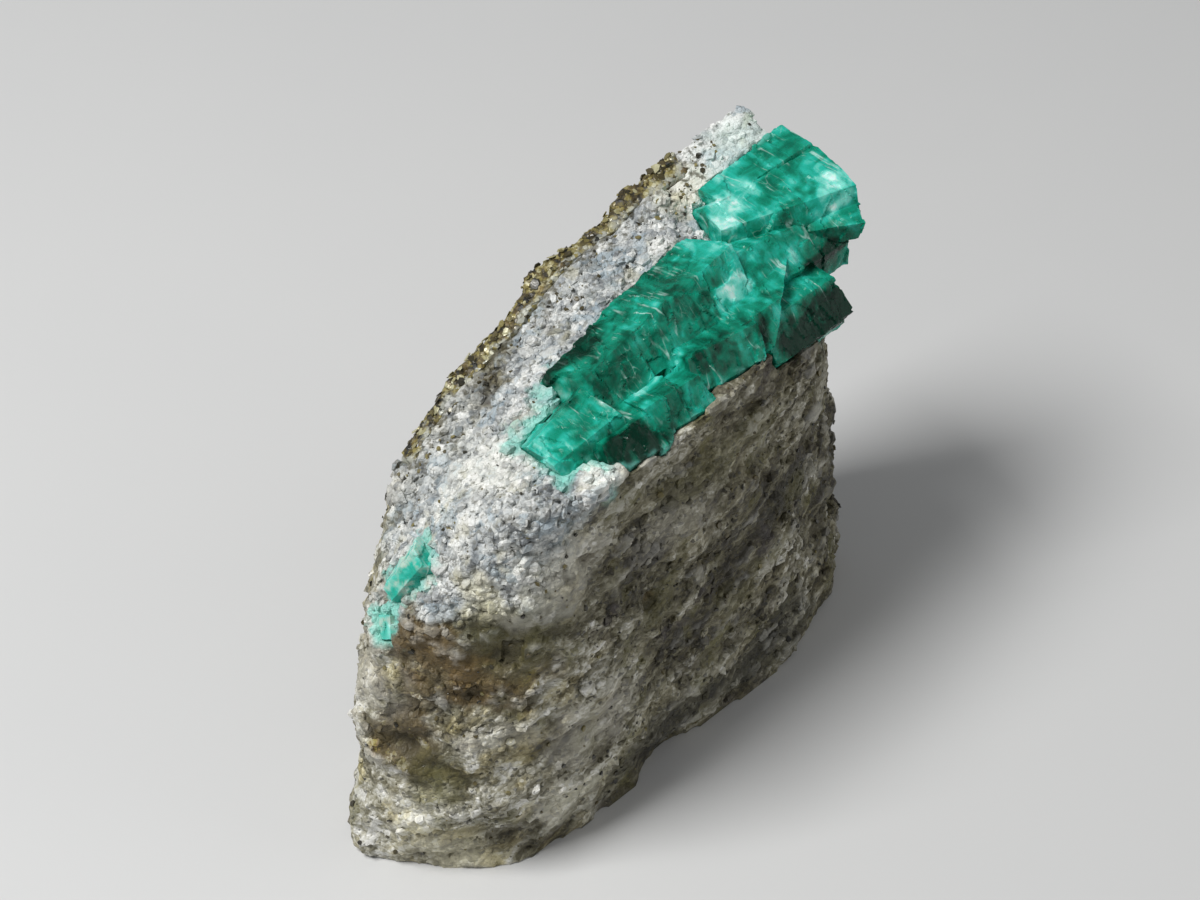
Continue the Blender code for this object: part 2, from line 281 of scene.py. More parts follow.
def fine_mesh(node: bpy.types.Object, name: str, modifier_values: dict[str, object]) -> bpy.types.Mesh:
    """A mesh of a node's form with small even faces.

    Args:
        node: The CAD node.
        name: The new mesh's name.
        modifier_values: The settings of the Remesh modifier that makes it.

    Returns:
        The new mesh, made of triangles.
    """
    helper = bpy.data.objects.new(f"{name}_helper", node.data.copy())
    bpy.context.scene.collection.objects.link(helper)
    modifier = helper.modifiers.new("Even faces", "REMESH")
    for setting, value in modifier_values.items():
        setattr(modifier, setting, value)
    bpy.context.view_layer.update()
    evaluated = helper.evaluated_get(bpy.context.evaluated_depsgraph_get())
    mesh = bpy.data.meshes.new_from_object(evaluated)
    bpy.data.objects.remove(helper, do_unlink=True)
    mesh.name = name
    mesh.materials.clear()
    bm = bmesh.new()
    bm.from_mesh(mesh)
    bmesh.ops.triangulate(bm, faces=bm.faces)
    bm.to_mesh(mesh)
    bm.free()
    return mesh


def shade(mesh: bpy.types.Mesh, sharp_angle: float) -> None:
    """Shade a mesh smooth, apart from edges sharper than an angle in degrees."""
    mesh.polygons.foreach_set("use_smooth", [True] * len(mesh.polygons))
    mesh.set_sharp_from_angle(angle=math.radians(sharp_angle))


# Node trees


class NodeSheet:
    """A short way to write the nodes of a material or a group."""

    def __init__(self, tree: bpy.types.NodeTree) -> None:
        """Write in an empty tree."""
        self.tree = tree

    def feed(self, socket: bpy.types.NodeSocket, value: object) -> None:
        """Link a socket to another, or set its value.

        Args:
            socket: The socket.
            value: A socket to link from, or a value.
        """
        if isinstance(value, bpy.types.NodeSocket):
            self.tree.links.new(value, socket)
        elif isinstance(value, tuple) and len(value) == 3 and socket.type == "RGBA":
            socket.default_value = (*value, 1.0)
        else:
            socket.default_value = value

    def add(self, kind: str, inputs: dict[object, object], **settings: object) -> bpy.types.Node:
        """A new node.

        Args:
            kind: The node's type name.
            inputs: A socket or a value for each input, by its name or number.
            **settings: The node's own settings.

        Returns:
            The node.
        """
        node = self.tree.nodes.new(kind)
        for setting, value in settings.items():
            setattr(node, setting, value)
        for key, value in inputs.items():
            self.feed(node.inputs[key], value)
        return node

    def maths(self, operation: str, first: object, second: object = 0.0) -> object:
        """The result of a sum on one or two numbers."""
        return self.add("ShaderNodeMath", {0: first, 1: second}, operation=operation).outputs[0]

    def times(self, first: object, second: object) -> object:
        """Two numbers multiplied."""
        return self.maths("MULTIPLY", first, second)

    def plus(self, first: object, second: object) -> object:
        """Two numbers added."""
        return self.maths("ADD", first, second)

    def weighted(self, *terms: tuple[object, float]) -> object:
        """Numbers added by weight.

        Args:
            *terms: Each number with its weight.

        Returns:
            The sum's socket.
        """
        total = self.times(*terms[0])
        for value, weight in terms[1:]:
            total = self.plus(total, self.times(value, weight))
        return total

    def along(self, place: object, axis: str) -> object:
        """One coordinate of a place."""
        return self.add("ShaderNodeSeparateXYZ", {"Vector": place}).outputs[axis]

    def vector(self, operation: str, first: object, second: object) -> object:
        """The result of a sum on two vectors."""
        node = self.add("ShaderNodeVectorMath", {0: first, 1: second}, operation=operation)
        return node.outputs["Vector"]

    def scaled(self, place: object, factors: Triple) -> object:
        """A place with each coordinate multiplied by its own factor."""
        return self.vector("MULTIPLY", place, factors)

    def remap(self, value: object, low: float, high: float, start: float = 0.0, end: float = 1.0) -> object:
        """A number that goes smoothly from start to end as value goes from low to high.

        Args:
            value: The number.
            low: Where it starts to change.
            high: Where it ends.
            start: The result at low.
            end: The result at high.

        Returns:
            The result's socket.
        """
        node = self.add(
            "ShaderNodeMapRange",
            {"Value": value, "From Min": low, "From Max": high, "To Min": start, "To Max": end},
            interpolation_type="SMOOTHSTEP",
        )
        return node.outputs["Result"]

    def mix(self, share: object, under: object, over: object, blend: str = "MIX") -> object:
        """The colour over laid on the colour under by a share.

        Args:
            share: The share of the upper colour, from 0 to 1.
            under: The lower colour.
            over: The upper colour.
            blend: How the two are joined.

        Returns:
            The colour's socket.
        """
        node = self.tree.nodes.new("ShaderNodeMix")
        node.data_type = "RGBA"
        node.blend_type = blend
        self.feed(node.inputs["Factor"], share)
        colours = [socket for socket in node.inputs if socket.type == "RGBA"]
        self.feed(colours[0], under)
        self.feed(colours[1], over)
        return next(socket for socket in node.outputs if socket.type == "RGBA")

    def lay(self, under: object, over: object, mask: object, strength: float) -> object:
        """The colour over laid on the colour under where a mask is, by a strength."""
        return self.mix(self.times(mask, strength), under, over)

    def ramp(self, value: object, stops: tuple[tuple[float, Colour], ...]) -> object:
        """A colour read from stops along a scale of 0 to 1.

        Args:
            value: The place on the scale.
            stops: Each stop's place and colour.

        Returns:
            The colour's socket.
        """
        node = self.add("ShaderNodeValToRGB", {0: value})
        elements = node.color_ramp.elements
        elements[0].position, elements[0].color = stops[0][0], (*stops[0][1], 1.0)
        elements[1].position, elements[1].color = stops[-1][0], (*stops[-1][1], 1.0)
        for position, colour in stops[1:-1]:
            elements.new(position).color = (*colour, 1.0)
        return node.outputs["Color"]

    def noise(self, place: object, spacing: float, detail: float = 3.0, distortion: float = 0.0) -> object:
        """Soft noise of about 0 to 1, with a wave length in millimetres."""
        values = {"Vector": place, "Scale": 1.0 / spacing, "Detail": detail, "Distortion": distortion}
        return self.add("ShaderNodeTexNoise", values).outputs["Fac"]

    def swing(self, place: object, spacing: float, detail: float, strength: float = 1.0) -> object:
        """Soft noise to both sides of 0, by a strength."""
        return self.times(self.maths("SUBTRACT", self.noise(place, spacing, detail), 0.5), strength)

    def wavered(self, place: object, scale: float, detail: float, reach: float) -> object:
        """A place moved about by soft noise, by up to a reach.

        Args:
            place: The place.
            scale: The noise's scale.
            detail: The noise's detail.
            reach: The furthest that it moves.

        Returns:
            The moved place's socket.
        """
        values = {"Vector": place, "Scale": scale, "Detail": detail}
        waver = self.add("ShaderNodeTexNoise", values).outputs["Color"]
        return self.vector("ADD", place, self.scaled(waver, (reach, reach, reach)))

    def cells(self, place: object, feature: str = "F1") -> bpy.types.Node:
        """Random cells with a spacing of 1."""
        return self.add("ShaderNodeTexVoronoi", {"Vector": place, "Scale": 1.0}, feature=feature)

    def place_in_mm(self) -> object:
        """The place on the surface in millimetres of the part's frame."""
        source = self.add("ShaderNodeTexCoord", {}).outputs["Object"]
        return self.scaled(source, (1.0 / MM, 1.0 / MM, 1.0 / MM))

    def kept(self, name: str) -> object:
        """A value that was stored on the mesh's points."""
        return self.add("ShaderNodeAttribute", {}, attribute_name=name).outputs["Fac"]

    def group(self, tree: bpy.types.NodeTree, inputs: dict[str, object]) -> bpy.types.Node:
        """A node group placed with its own values.

        Args:
            tree: The group.
            inputs: A socket or a value for each input, by its name.

        Returns:
            The group's node.
        """
        node = self.tree.nodes.new("ShaderNodeGroup")
        node.node_tree = tree
        for key, value in inputs.items():
            self.feed(node.inputs[key], value)
        return node

    def roughen(self, shader: bpy.types.Node, height: object, strength: float, depth: float) -> None:
        """Give a shader a bump of a strength, and of a depth in millimetres.

        Args:
            shader: The shader.
            height: The socket of the height.
            strength: The bump's strength.
            depth: Its depth in millimetres.
        """
        values = {"Strength": strength, "Distance": depth * MM, "Height": height}
        bump = self.add("ShaderNodeBump", values).outputs["Normal"]
        self.feed(shader.inputs["Normal"], bump)


class Effects:
    """The node groups that more than one finish uses."""

    def __init__(self) -> None:
        """Build each group once."""
        self.patch = self.build_patch()
        self.grain = self.build_grain()
        self.veins = self.build_veins()

    @staticmethod
    def empty(name: str, inputs: tuple[tuple[str, str], ...], outputs: tuple[tuple[str, str], ...]) -> tuple:
        """A new group with named sockets.

        Args:
            name: The group's name.
            inputs: The name and kind of each input.
            outputs: The name and kind of each output.

        Returns:
            The group, a sheet to write in it, its input node and its output node.
        """
        kinds = {"place": "NodeSocketVector", "number": "NodeSocketFloat"}
        tree = bpy.data.node_groups.new(name, "ShaderNodeTree")
        for socket_name, kind in inputs:
            tree.interface.new_socket(socket_name, in_out="INPUT", socket_type=kinds[kind])
        for socket_name, kind in outputs:
            tree.interface.new_socket(socket_name, in_out="OUTPUT", socket_type=kinds[kind])
        sheet = NodeSheet(tree)
        return tree, sheet, tree.nodes.new("NodeGroupInput"), tree.nodes.new("NodeGroupOutput")

    def build_patch(self) -> bpy.types.NodeTree:
        """A ragged stain round a place: full at its middle and gone at its reach.

        Returns:
            The group.
        """
        tree, sheet, given, result = self.empty(
            "Ragged patch",
            (
                ("Place", "place"),
                ("Middle", "place"),
                ("Reach", "place"),
                ("Fray", "number"),
                ("Raggedness", "number"),
            ),
            (("Mask", "number"),),
        )
        offset = sheet.vector("SUBTRACT", given.outputs["Place"], given.outputs["Middle"])
        offset = sheet.vector("DIVIDE", offset, given.outputs["Reach"])
        length = sheet.add("ShaderNodeVectorMath", {0: offset}, operation="LENGTH").outputs["Value"]
        fray = sheet.times(given.outputs["Fray"], given.outputs["Raggedness"])
        mask = sheet.remap(sheet.plus(length, fray), 1.0, 0.45)
        sheet.feed(result.inputs["Mask"], mask)
        return tree

    def build_grain(self) -> bpy.types.NodeTree:
        """Mineral grains: a random tone for each, dark joints between them and a height.

        Returns:
            The group.
        """
        tree, sheet, given, result = self.empty(
            "Mineral grains",
            (("Place", "place"), ("Grains per mm", "place")),
            (("Tone", "number"), ("Other Tone", "number"), ("Joint", "number"), ("Height", "number")),
        )
        place = sheet.vector("MULTIPLY", given.outputs["Place"], given.outputs["Grains per mm"])
        body = sheet.cells(sheet.wavered(place, 1.3, 2.0, 0.5))
        split = sheet.add("ShaderNodeSeparateColor", {"Color": body.outputs["Color"]})
        joint = sheet.remap(body.outputs["Distance"], 0.5, 0.85)
        height = sheet.maths("SUBTRACT", split.outputs[2], sheet.times(joint, 0.6))
        sheet.feed(result.inputs["Tone"], split.outputs[0])
        sheet.feed(result.inputs["Other Tone"], split.outputs[1])
        sheet.feed(result.inputs["Joint"], joint)
        sheet.feed(result.inputs["Height"], height)
        return tree

    def build_veins(self) -> bpy.types.NodeTree:
        """Thin wavering lines, such as healed cracks, that fade in and out.

        Returns:
            The group.
        """
        tree, sheet, given, result = self.empty(
            "Healed cracks",
            (("Place", "place"), ("Cracks per mm", "place"), ("Width", "number"), ("Cover", "number")),
            (("Mask", "number"),),
        )
        place = sheet.vector("MULTIPLY", given.outputs["Place"], given.outputs["Cracks per mm"])
        place = sheet.wavered(place, 0.9, 3.0, 0.7)
        edge = sheet.cells(place, "DISTANCE_TO_EDGE").outputs["Distance"]
        nearness = sheet.maths("DIVIDE", edge, given.outputs["Width"])
        line = sheet.remap(nearness, 1.0, 0.0)
        fade = sheet.noise(given.outputs["Place"], 3.4, 3.0)
        fade = sheet.remap(sheet.plus(fade, given.outputs["Cover"]), 0.9, 1.15)
        sheet.feed(result.inputs["Mask"], sheet.times(line, fade))
        return tree

    def mask(self, sheet: NodeSheet, place: object, patch: "StainOrShadePatch | TonePatch", fray: object) -> object:
        """Where a patch lies.

        Args:
            sheet: The material's sheet.
            place: The place on the surface in millimetres.
            patch: The patch.
            fray: The noise that makes its edge ragged.

        Returns:
            The mask's socket.
        """
        values = {"Place": place, "Middle": patch.middle, "Reach": patch.reach}
        values |= {"Fray": fray, "Raggedness": patch.raggedness}
        return sheet.group(self.patch, values).outputs["Mask"]


def new_material(name: str, preview: Colour) -> tuple[bpy.types.Material, NodeSheet, bpy.types.Node]:
    """A material with one Principled shader.

    Args:
        name: The material's name.
        preview: Its colour in a plain view.

    Returns:
        The material, a sheet to write in it, and its shader.
    """
    material = bpy.data.materials.new(name)
    material.use_nodes = True
    material.diffuse_color = (*preview, 1.0)
    return material, NodeSheet(material.node_tree), material.node_tree.nodes["Principled BSDF"]


# Finishes


@dataclass(frozen=True)
class StainOrShadePatch:
    """A patch of another colour on the rock: most are stains, and some are painted shade."""

    middle: Triple
    reach: Triple
    colour: Colour
    strength: float
    raggedness: float = 1.3


@dataclass(frozen=True)
class TonePatch:
    """A patch of the emerald that is paler, or with a lift below zero darker, than the rest; some dark ones
    are painted shade.
    """

    middle: Triple
    reach: Triple
    lift: float
    raggedness: float = 1.2


RUST = (0.22, 0.150, 0.055)
BROWN = (0.125, 0.092, 0.038)
OLIVE = (0.155, 0.145, 0.052)
CREAM = (0.72, 0.69, 0.55)
MINT = (0.24, 0.66, 0.56)
BLUE_GREY = (0.29, 0.37, 0.42)
# Painted shade: a dark grey laid low on the front near the base and on the front's right part.
FRONT_SHADE = (0.085, 0.085, 0.068)
SILVER = (0.56, 0.545, 0.50)
WHITE = (0.82, 0.81, 0.75)
MILK = (0.64, 0.74, 0.70)
STRAW = (0.62, 0.55, 0.33)
VIOLET_GREY = (0.27, 0.24, 0.28)
INK = (0.03, 0.03, 0.025)
DRAB = (0.42, 0.39, 0.25)
SPECK = (0.10, 0.095, 0.07)
JOINT_GREY = (0.33, 0.31, 0.25)
MICA_DUST = (0.075, 0.066, 0.033)
HOLLOW_SHADE = (0.075, 0.065, 0.04)
QUARTZ_GREY = (0.47, 0.48, 0.42)
SCHIST_TONES = (
    (0.12, (0.036, 0.031, 0.019)),
    (0.32, (0.100, 0.089, 0.050)),
    (0.50, (0.195, 0.181, 0.120)),
    (0.66, (0.33, 0.312, 0.235)),
    (0.82, (0.55, 0.535, 0.455)),
    (1.0, (0.80, 0.79, 0.74)),
)
QUARTZ_TONES = (
    (0.1, (0.13, 0.14, 0.145)),
    (0.3, (0.28, 0.30, 0.31)),
    (0.55, (0.49, 0.51, 0.50)),
    (0.9, (0.80, 0.805, 0.775)),
)


@dataclass(frozen=True)
class RockFinish:
    """White and bluish quartz above, grey-brown foliated schist below, with stains, painted shade on the
    front and in hollows, and painted light on crests and the near end.
    """

    foliation_rise: float = 24.0
    ridge_height: float = 56.0
    near_slope: float = 0.72
    near_line: float = 66.0
    front_rise: float = 9.0
    front: tuple[float, float] = (-11.0, -15.0)
    off_near_end: tuple[float, float] = (-15.0, -9.0)
    stains_and_shade: tuple[StainOrShadePatch, ...] = (
        StainOrShadePatch((-33.5, -8.0, 34.5), (15.0, 13.0, 12.0), BROWN, 0.85, 2.2),
        StainOrShadePatch((-29.5, -13.0, 40.0), (11.0, 9.0, 9.0), OLIVE, 0.8, 2.0),
        StainOrShadePatch((-36.0, -7.0, 37.0), (7.0, 6.0, 5.5), RUST, 0.75, 3.0),
        StainOrShadePatch((-34.5, -10.5, 31.5), (5.5, 5.5, 4.5), RUST, 0.6, 3.0),
        StainOrShadePatch((-33.0, -11.5, 46.0), (5.0, 4.5, 4.0), CREAM, 0.6, 2.4),
        StainOrShadePatch((-39.0, -5.0, 12.0), (5.0, 5.0, 4.5), WHITE, 0.7, 2.4),
        StainOrShadePatch((-40.5, -3.0, 21.5), (7.0, 7.0, 7.5), BROWN, 0.9, 2.0),
        StainOrShadePatch((-38.5, -8.0, 17.0), (6.5, 6.0, 5.5), OLIVE, 0.65, 2.6),
        StainOrShadePatch((-38.0, -8.0, 4.0), (8.0, 9.0, 8.0), CREAM, 0.75, 1.8),
        StainOrShadePatch((-31.0, -12.0, 24.0), (9.0, 6.0, 3.6), WHITE, 0.8, 1.8),
        StainOrShadePatch((-41.0, 2.0, 30.0), (6.0, 7.0, 9.0), SILVER, 0.7, 1.8),
        StainOrShadePatch((-20.0, -17.5, 20.0), (12.0, 5.0, 6.0), SILVER, 0.75, 2.0),
        StainOrShadePatch((-24.0, -16.0, 9.0), (11.0, 6.0, 5.5), WHITE, 0.7, 2.0),
        StainOrShadePatch((-24.0, -14.0, 47.0), (10.0, 6.0, 9.0), WHITE, 0.75, 1.8),
        StainOrShadePatch((-6.0, -16.5, 43.5), (10.0, 4.0, 6.0), SILVER, 0.5, 2.0),
        StainOrShadePatch((-23.0, -3.0, 54.5), (8.0, 9.0, 6.0), WHITE, 0.7, 1.8),
        StainOrShadePatch((-8.6, -16.5, 33.2), (1.5, 2.0, 1.3), RUST, 1.0, 0.6),
        StainOrShadePatch((-8.0, -16.5, 31.5), (4.5, 3.0, 4.5), OLIVE, 0.7),
        StainOrShadePatch((6.5, -17.0, 23.0), (6.0, 3.0, 3.5), OLIVE, 0.5),
        StainOrShadePatch((7.0, -16.0, 48.5), (17.0, 4.0, 4.5), OLIVE, 0.6),
        # Painted shade low on the front near the base and on its right part, in the front shade colour.
        StainOrShadePatch((20.0, -14.0, 30.0), (12.0, 6.0, 7.0), FRONT_SHADE, 0.35),
        StainOrShadePatch((-4.0, -16.8, 6.0), (20.0, 4.0, 6.0), FRONT_SHADE, 0.6),
        StainOrShadePatch((18.0, -16.0, 7.0), (16.0, 4.0, 7.0), FRONT_SHADE, 0.65),
        StainOrShadePatch((-16.0, -15.3, 58.5), (4.5, 3.5, 3.5), WHITE, 1.0),
        StainOrShadePatch((26.5, 11.0, 65.0), (6.0, 3.5, 4.0), CREAM, 0.7, 2.0),
        StainOrShadePatch((36.0, 10.0, 67.0), (9.0, 6.0, 5.0), MILK, 0.8, 1.6),
    )

    @staticmethod
    def grown_tone(sheet: NodeSheet, strength: float) -> object:
        """How much paler or darker a grown grain is than the rock under it."""
        return sheet.times(sheet.maths("SUBTRACT", sheet.kept("tone"), 0.5), strength)

    def schist(self, sheet: NodeSheet, place: object, grains: bpy.types.Node, fine: bpy.types.Node) -> object:
        """The colour of the foliated rock.

        Args:
            sheet: The material's sheet.
            place: The place on the surface in millimetres.
            grains: The coarse mineral grains.
            fine: The fine mineral grains.

        Returns:
            The colour's socket.
        """
        turn = {"Vector": place, "Angle": math.radians(self.foliation_rise)}
        rising = sheet.add("ShaderNodeVectorRotate", turn, rotation_type="Y_AXIS").outputs["Vector"]
        lengthened = sheet.scaled(rising, (0.25, 1.0, 1.0))
        streaks = sheet.remap(sheet.noise(lengthened, 2.6, 5.0, 0.7), 0.36, 0.64)
        broad = sheet.remap(sheet.noise(sheet.scaled(place, (0.6, 1.0, 1.0)), 9.0, 4.0), 0.36, 0.62)
        across = sheet.along(place, "X")
        tones = (grains.outputs["Tone"], 0.22), (fine.outputs["Tone"], 0.25)
        level = sheet.weighted(*tones, (streaks, 0.36), (broad, 0.32))
        # Painted light and shade: the schist is lighter towards the near end, where the light falls, and
        # darker towards the far end.
        level = sheet.plus(level, sheet.remap(across, -26.0, -37.0, -0.08, 0.12))
        level = sheet.plus(level, sheet.remap(across, -18.0, 12.0, 0.0, -0.09))
        level = sheet.plus(level, self.grown_tone(sheet, 0.5))
        colour = sheet.ramp(level, SCHIST_TONES)
        warmth = sheet.remap(sheet.noise(place, 5.5, 4.0), 0.52, 0.70)
        colour = sheet.lay(colour, OLIVE, warmth, 0.65)
        lengthened = sheet.scaled(rising, (0.5, 1.0, 1.0))
        sallow = sheet.remap(sheet.noise(lengthened, 4.2, 4.0), 0.50, 0.64)
        sallow = sheet.times(sallow, sheet.remap(across, -14.0, -30.0, 0.15, 0.6))
        colour = sheet.mix(sallow, colour, sheet.mix(1.0, colour, STRAW, "OVERLAY"))
        violet = sheet.remap(sheet.noise(place, 6.5, 2.0), 0.60, 0.72)
        colour = sheet.lay(colour, VIOLET_GREY, violet, 0.14)
        dark = sheet.remap(fine.outputs["Other Tone"], 0.92, 0.96)
        return sheet.lay(colour, INK, dark, 0.7)

    def quartz(self, sheet: NodeSheet, place: object, grains: bpy.types.Node, fine: bpy.types.Node) -> object:
        """The colour of the sugary quartz.

        Args:
            sheet: The material's sheet.
            place: The place on the surface in millimetres.
            grains: The coarse mineral grains.
            fine: The fine mineral grains.

        Returns:
            The colour's socket.
        """
        clouds = sheet.remap(sheet.noise(place, 4.0, 5.0, 0.4), 0.34, 0.64)
        tones = (grains.outputs["Tone"], 0.34), (fine.outputs["Tone"], 0.26)
        level = sheet.weighted(*tones, (clouds, 0.40))
        level = sheet.plus(level, self.grown_tone(sheet, 0.4))
        across = sheet.along(place, "X")
        level = sheet.plus(level, sheet.remap(across, 18.0, 28.0, 0.0, 0.22))
        colour = sheet.ramp(level, QUARTZ_TONES)
        blue = sheet.remap(sheet.noise(place, 5.0, 3.0), 0.48, 0.58)
        blue = sheet.times(blue, sheet.remap(grains.outputs["Other Tone"], 0.15, 0.5))
        colour = sheet.lay(colour, BLUE_GREY, blue, 0.6)
        sallow = sheet.remap(sheet.noise(place, 3.3, 4.0), 0.56, 0.70)
        colour = sheet.lay(colour, DRAB, sallow, 0.5)
        specks = sheet.remap(fine.outputs["Other Tone"], 0.90, 0.95)
        colour = sheet.lay(colour, SPECK, specks, 0.6)
        return sheet.lay(colour, JOINT_GREY, fine.outputs["Joint"], 0.25)

    def quartz_share(self, sheet: NodeSheet, place: object) -> object:
        """How much of the surface is quartz: all above a wavering line, none below it.

        Args:
            sheet: The material's sheet.
            place: The place on the surface in millimetres.

        Returns:
            The socket of the share, from 0 to 1.
        """
        parts = sheet.add("ShaderNodeSeparateXYZ", {"Vector": place})
        across, up = parts.outputs["X"], parts.outputs["Z"]
        near_line = sheet.plus(sheet.times(across, self.near_slope), self.near_line)
        line = sheet.maths("MINIMUM", near_line, self.ridge_height)
        in_front = sheet.remap(parts.outputs["Y"], *self.front)
        in_front = sheet.times(in_front, sheet.remap(across, *self.off_near_end))
        line = sheet.plus(line, sheet.times(in_front, self.front_rise))
        height = sheet.plus(sheet.maths("SUBTRACT", up, line), sheet.swing(place, 6.0, 5.0, 13.0))
        blend = sheet.remap(across, -10.0, -25.0, 1.4, 5.0)
        return sheet.remap(sheet.maths("DIVIDE", height, blend), -1.0, 1.0)

    def material(self, effects: Effects) -> bpy.types.Material:
        """The finish as a material.

        Args:
            effects: The shared node groups.

        Returns:
            The new material.
        """
        material, sheet, shader = new_material("Quartz and schist", (0.56, 0.52, 0.46))
        place = sheet.place_in_mm()
        grains = sheet.group(effects.grain, {"Place": place, "Grains per mm": (0.7, 1.0, 1.15)})
        fine = sheet.group(effects.grain, {"Place": place, "Grains per mm": (2.0, 2.6, 2.8)})
        share = self.quartz_share(sheet, place)
        schist = self.schist(sheet, place, grains, fine)
        colour = sheet.mix(share, schist, self.quartz(sheet, place, grains, fine))
        ragged = sheet.swing(place, 4.5, 5.0)
        # Lay the stains, and the patches of painted shade on the front.
        for stain_or_shade in self.stains_and_shade:
            mask = effects.mask(sheet, place, stain_or_shade, ragged)
            mask = sheet.times(mask, stain_or_shade.strength)
            tinted = sheet.mix(0.45, sheet.mix(1.0, colour, stain_or_shade.colour, "OVERLAY"), stain_or_shade.colour)
            colour = sheet.mix(mask, colour, tinted)
        frayed = sheet.swing(place, 0.9, 4.0, 2.4)
        by_mica = sheet.remap(sheet.plus(sheet.kept("by_mica"), frayed), 0.75, 1.1)
        colour = sheet.lay(colour, MICA_DUST, by_mica, 0.75)
        # Painted shade in the relief's hollows and a painted highlight on its crests, from how far the
        # surface stands out.
        standing = sheet.kept("standing")
        hollow = sheet.remap(standing, 0.45, 0.12)
        colour = sheet.lay(colour, HOLLOW_SHADE, hollow, 0.6)
        crest_highlight = sheet.remap(standing, 0.60, 0.92)
        colour = sheet.lay(colour, WHITE, crest_highlight, 0.35)
        by_emerald = sheet.kept("by_emerald")
        mint = sheet.remap(sheet.plus(by_emerald, sheet.times(ragged, 1.8)), 0.40, 0.95)
        mint = sheet.times(mint, sheet.remap(by_emerald, 0.0, 0.3))
        near_end = sheet.remap(sheet.along(place, "X"), -24.0, -30.0)
        mint = sheet.times(mint, sheet.maths("MAXIMUM", share, near_end))
        colour = sheet.lay(colour, MINT, mint, 0.8)
        sheet.feed(shader.inputs["Base Color"], colour)
        height = sheet.plus(grains.outputs["Height"], sheet.times(fine.outputs["Height"], 0.5))
        height = sheet.plus(height, sheet.times(sheet.noise(place, 0.25, 2.0), 0.5))
        sheet.roughen(shader, height, 0.75, 0.25)
        rough = sheet.remap(fine.outputs["Other Tone"], 0.0, 1.0, 0.78, 0.38)
        sheet.feed(shader.inputs["Roughness"], rough)
        shader.inputs["Specular IOR Level"].default_value = 0.45
        return material


@dataclass(frozen=True)
class MicaFinish:
    """Golden-brown to black flaky mica."""

    name: str = "Weathered mica"
    gold: Colour = (0.27, 0.225, 0.070)
    brown: Colour = (0.10, 0.075, 0.028)
    black: Colour = (0.016, 0.016, 0.012)
    straw: Colour = (0.50, 0.48, 0.31)
    metallic: float = 0.15

    def material(self, effects: Effects) -> bpy.types.Material:
        """The finish as a material.

        Args:
            effects: The shared node groups.

        Returns:
            The new material.
        """
        material, sheet, shader = new_material(self.name, self.brown)
        place = sheet.place_in_mm()
        flakes = sheet.group(effects.grain, {"Place": place, "Grains per mm": (1.7, 1.7, 2.2)})
        patches = sheet.remap(sheet.noise(place, 2.6, 5.0, 0.5), 0.34, 0.66)
        level = sheet.weighted((flakes.outputs["Tone"], 0.5), (patches, 0.5))
        stops = ((0.18, self.black), (0.42, self.brown), (0.64, self.gold), (0.92, self.straw))
        colour = sheet.ramp(level, stops)
        rust = sheet.remap(sheet.noise(place, 2.3, 2.0), 0.58, 0.72)
        colour = sheet.lay(colour, RUST, rust, 0.5)
        joints = sheet.times(flakes.outputs["Joint"], 0.4)
        colour = sheet.mix(joints, colour, self.black)
        ragged = sheet.swing(place, 2.2, 5.0, 2.0)
        quartz = sheet.remap(sheet.plus(sheet.kept("by_rock"), ragged), 0.45, 0.85)
        quartz = sheet.times(quartz, sheet.remap(flakes.outputs["Other Tone"], 0.1, 0.5))
        colour = sheet.lay(colour, QUARTZ_GREY, quartz, 0.85)
        sheet.feed(shader.inputs["Base Color"], colour)
        rough = sheet.remap(flakes.outputs["Other Tone"], 0.2, 0.9, 0.62, 0.28)
        sheet.feed(shader.inputs["Roughness"], rough)
        sheet.roughen(shader, flakes.outputs["Height"], 0.8, 0.2)
        shader.inputs["Metallic"].default_value = self.metallic
        shader.inputs["Specular IOR Level"].default_value = 0.6
        return material


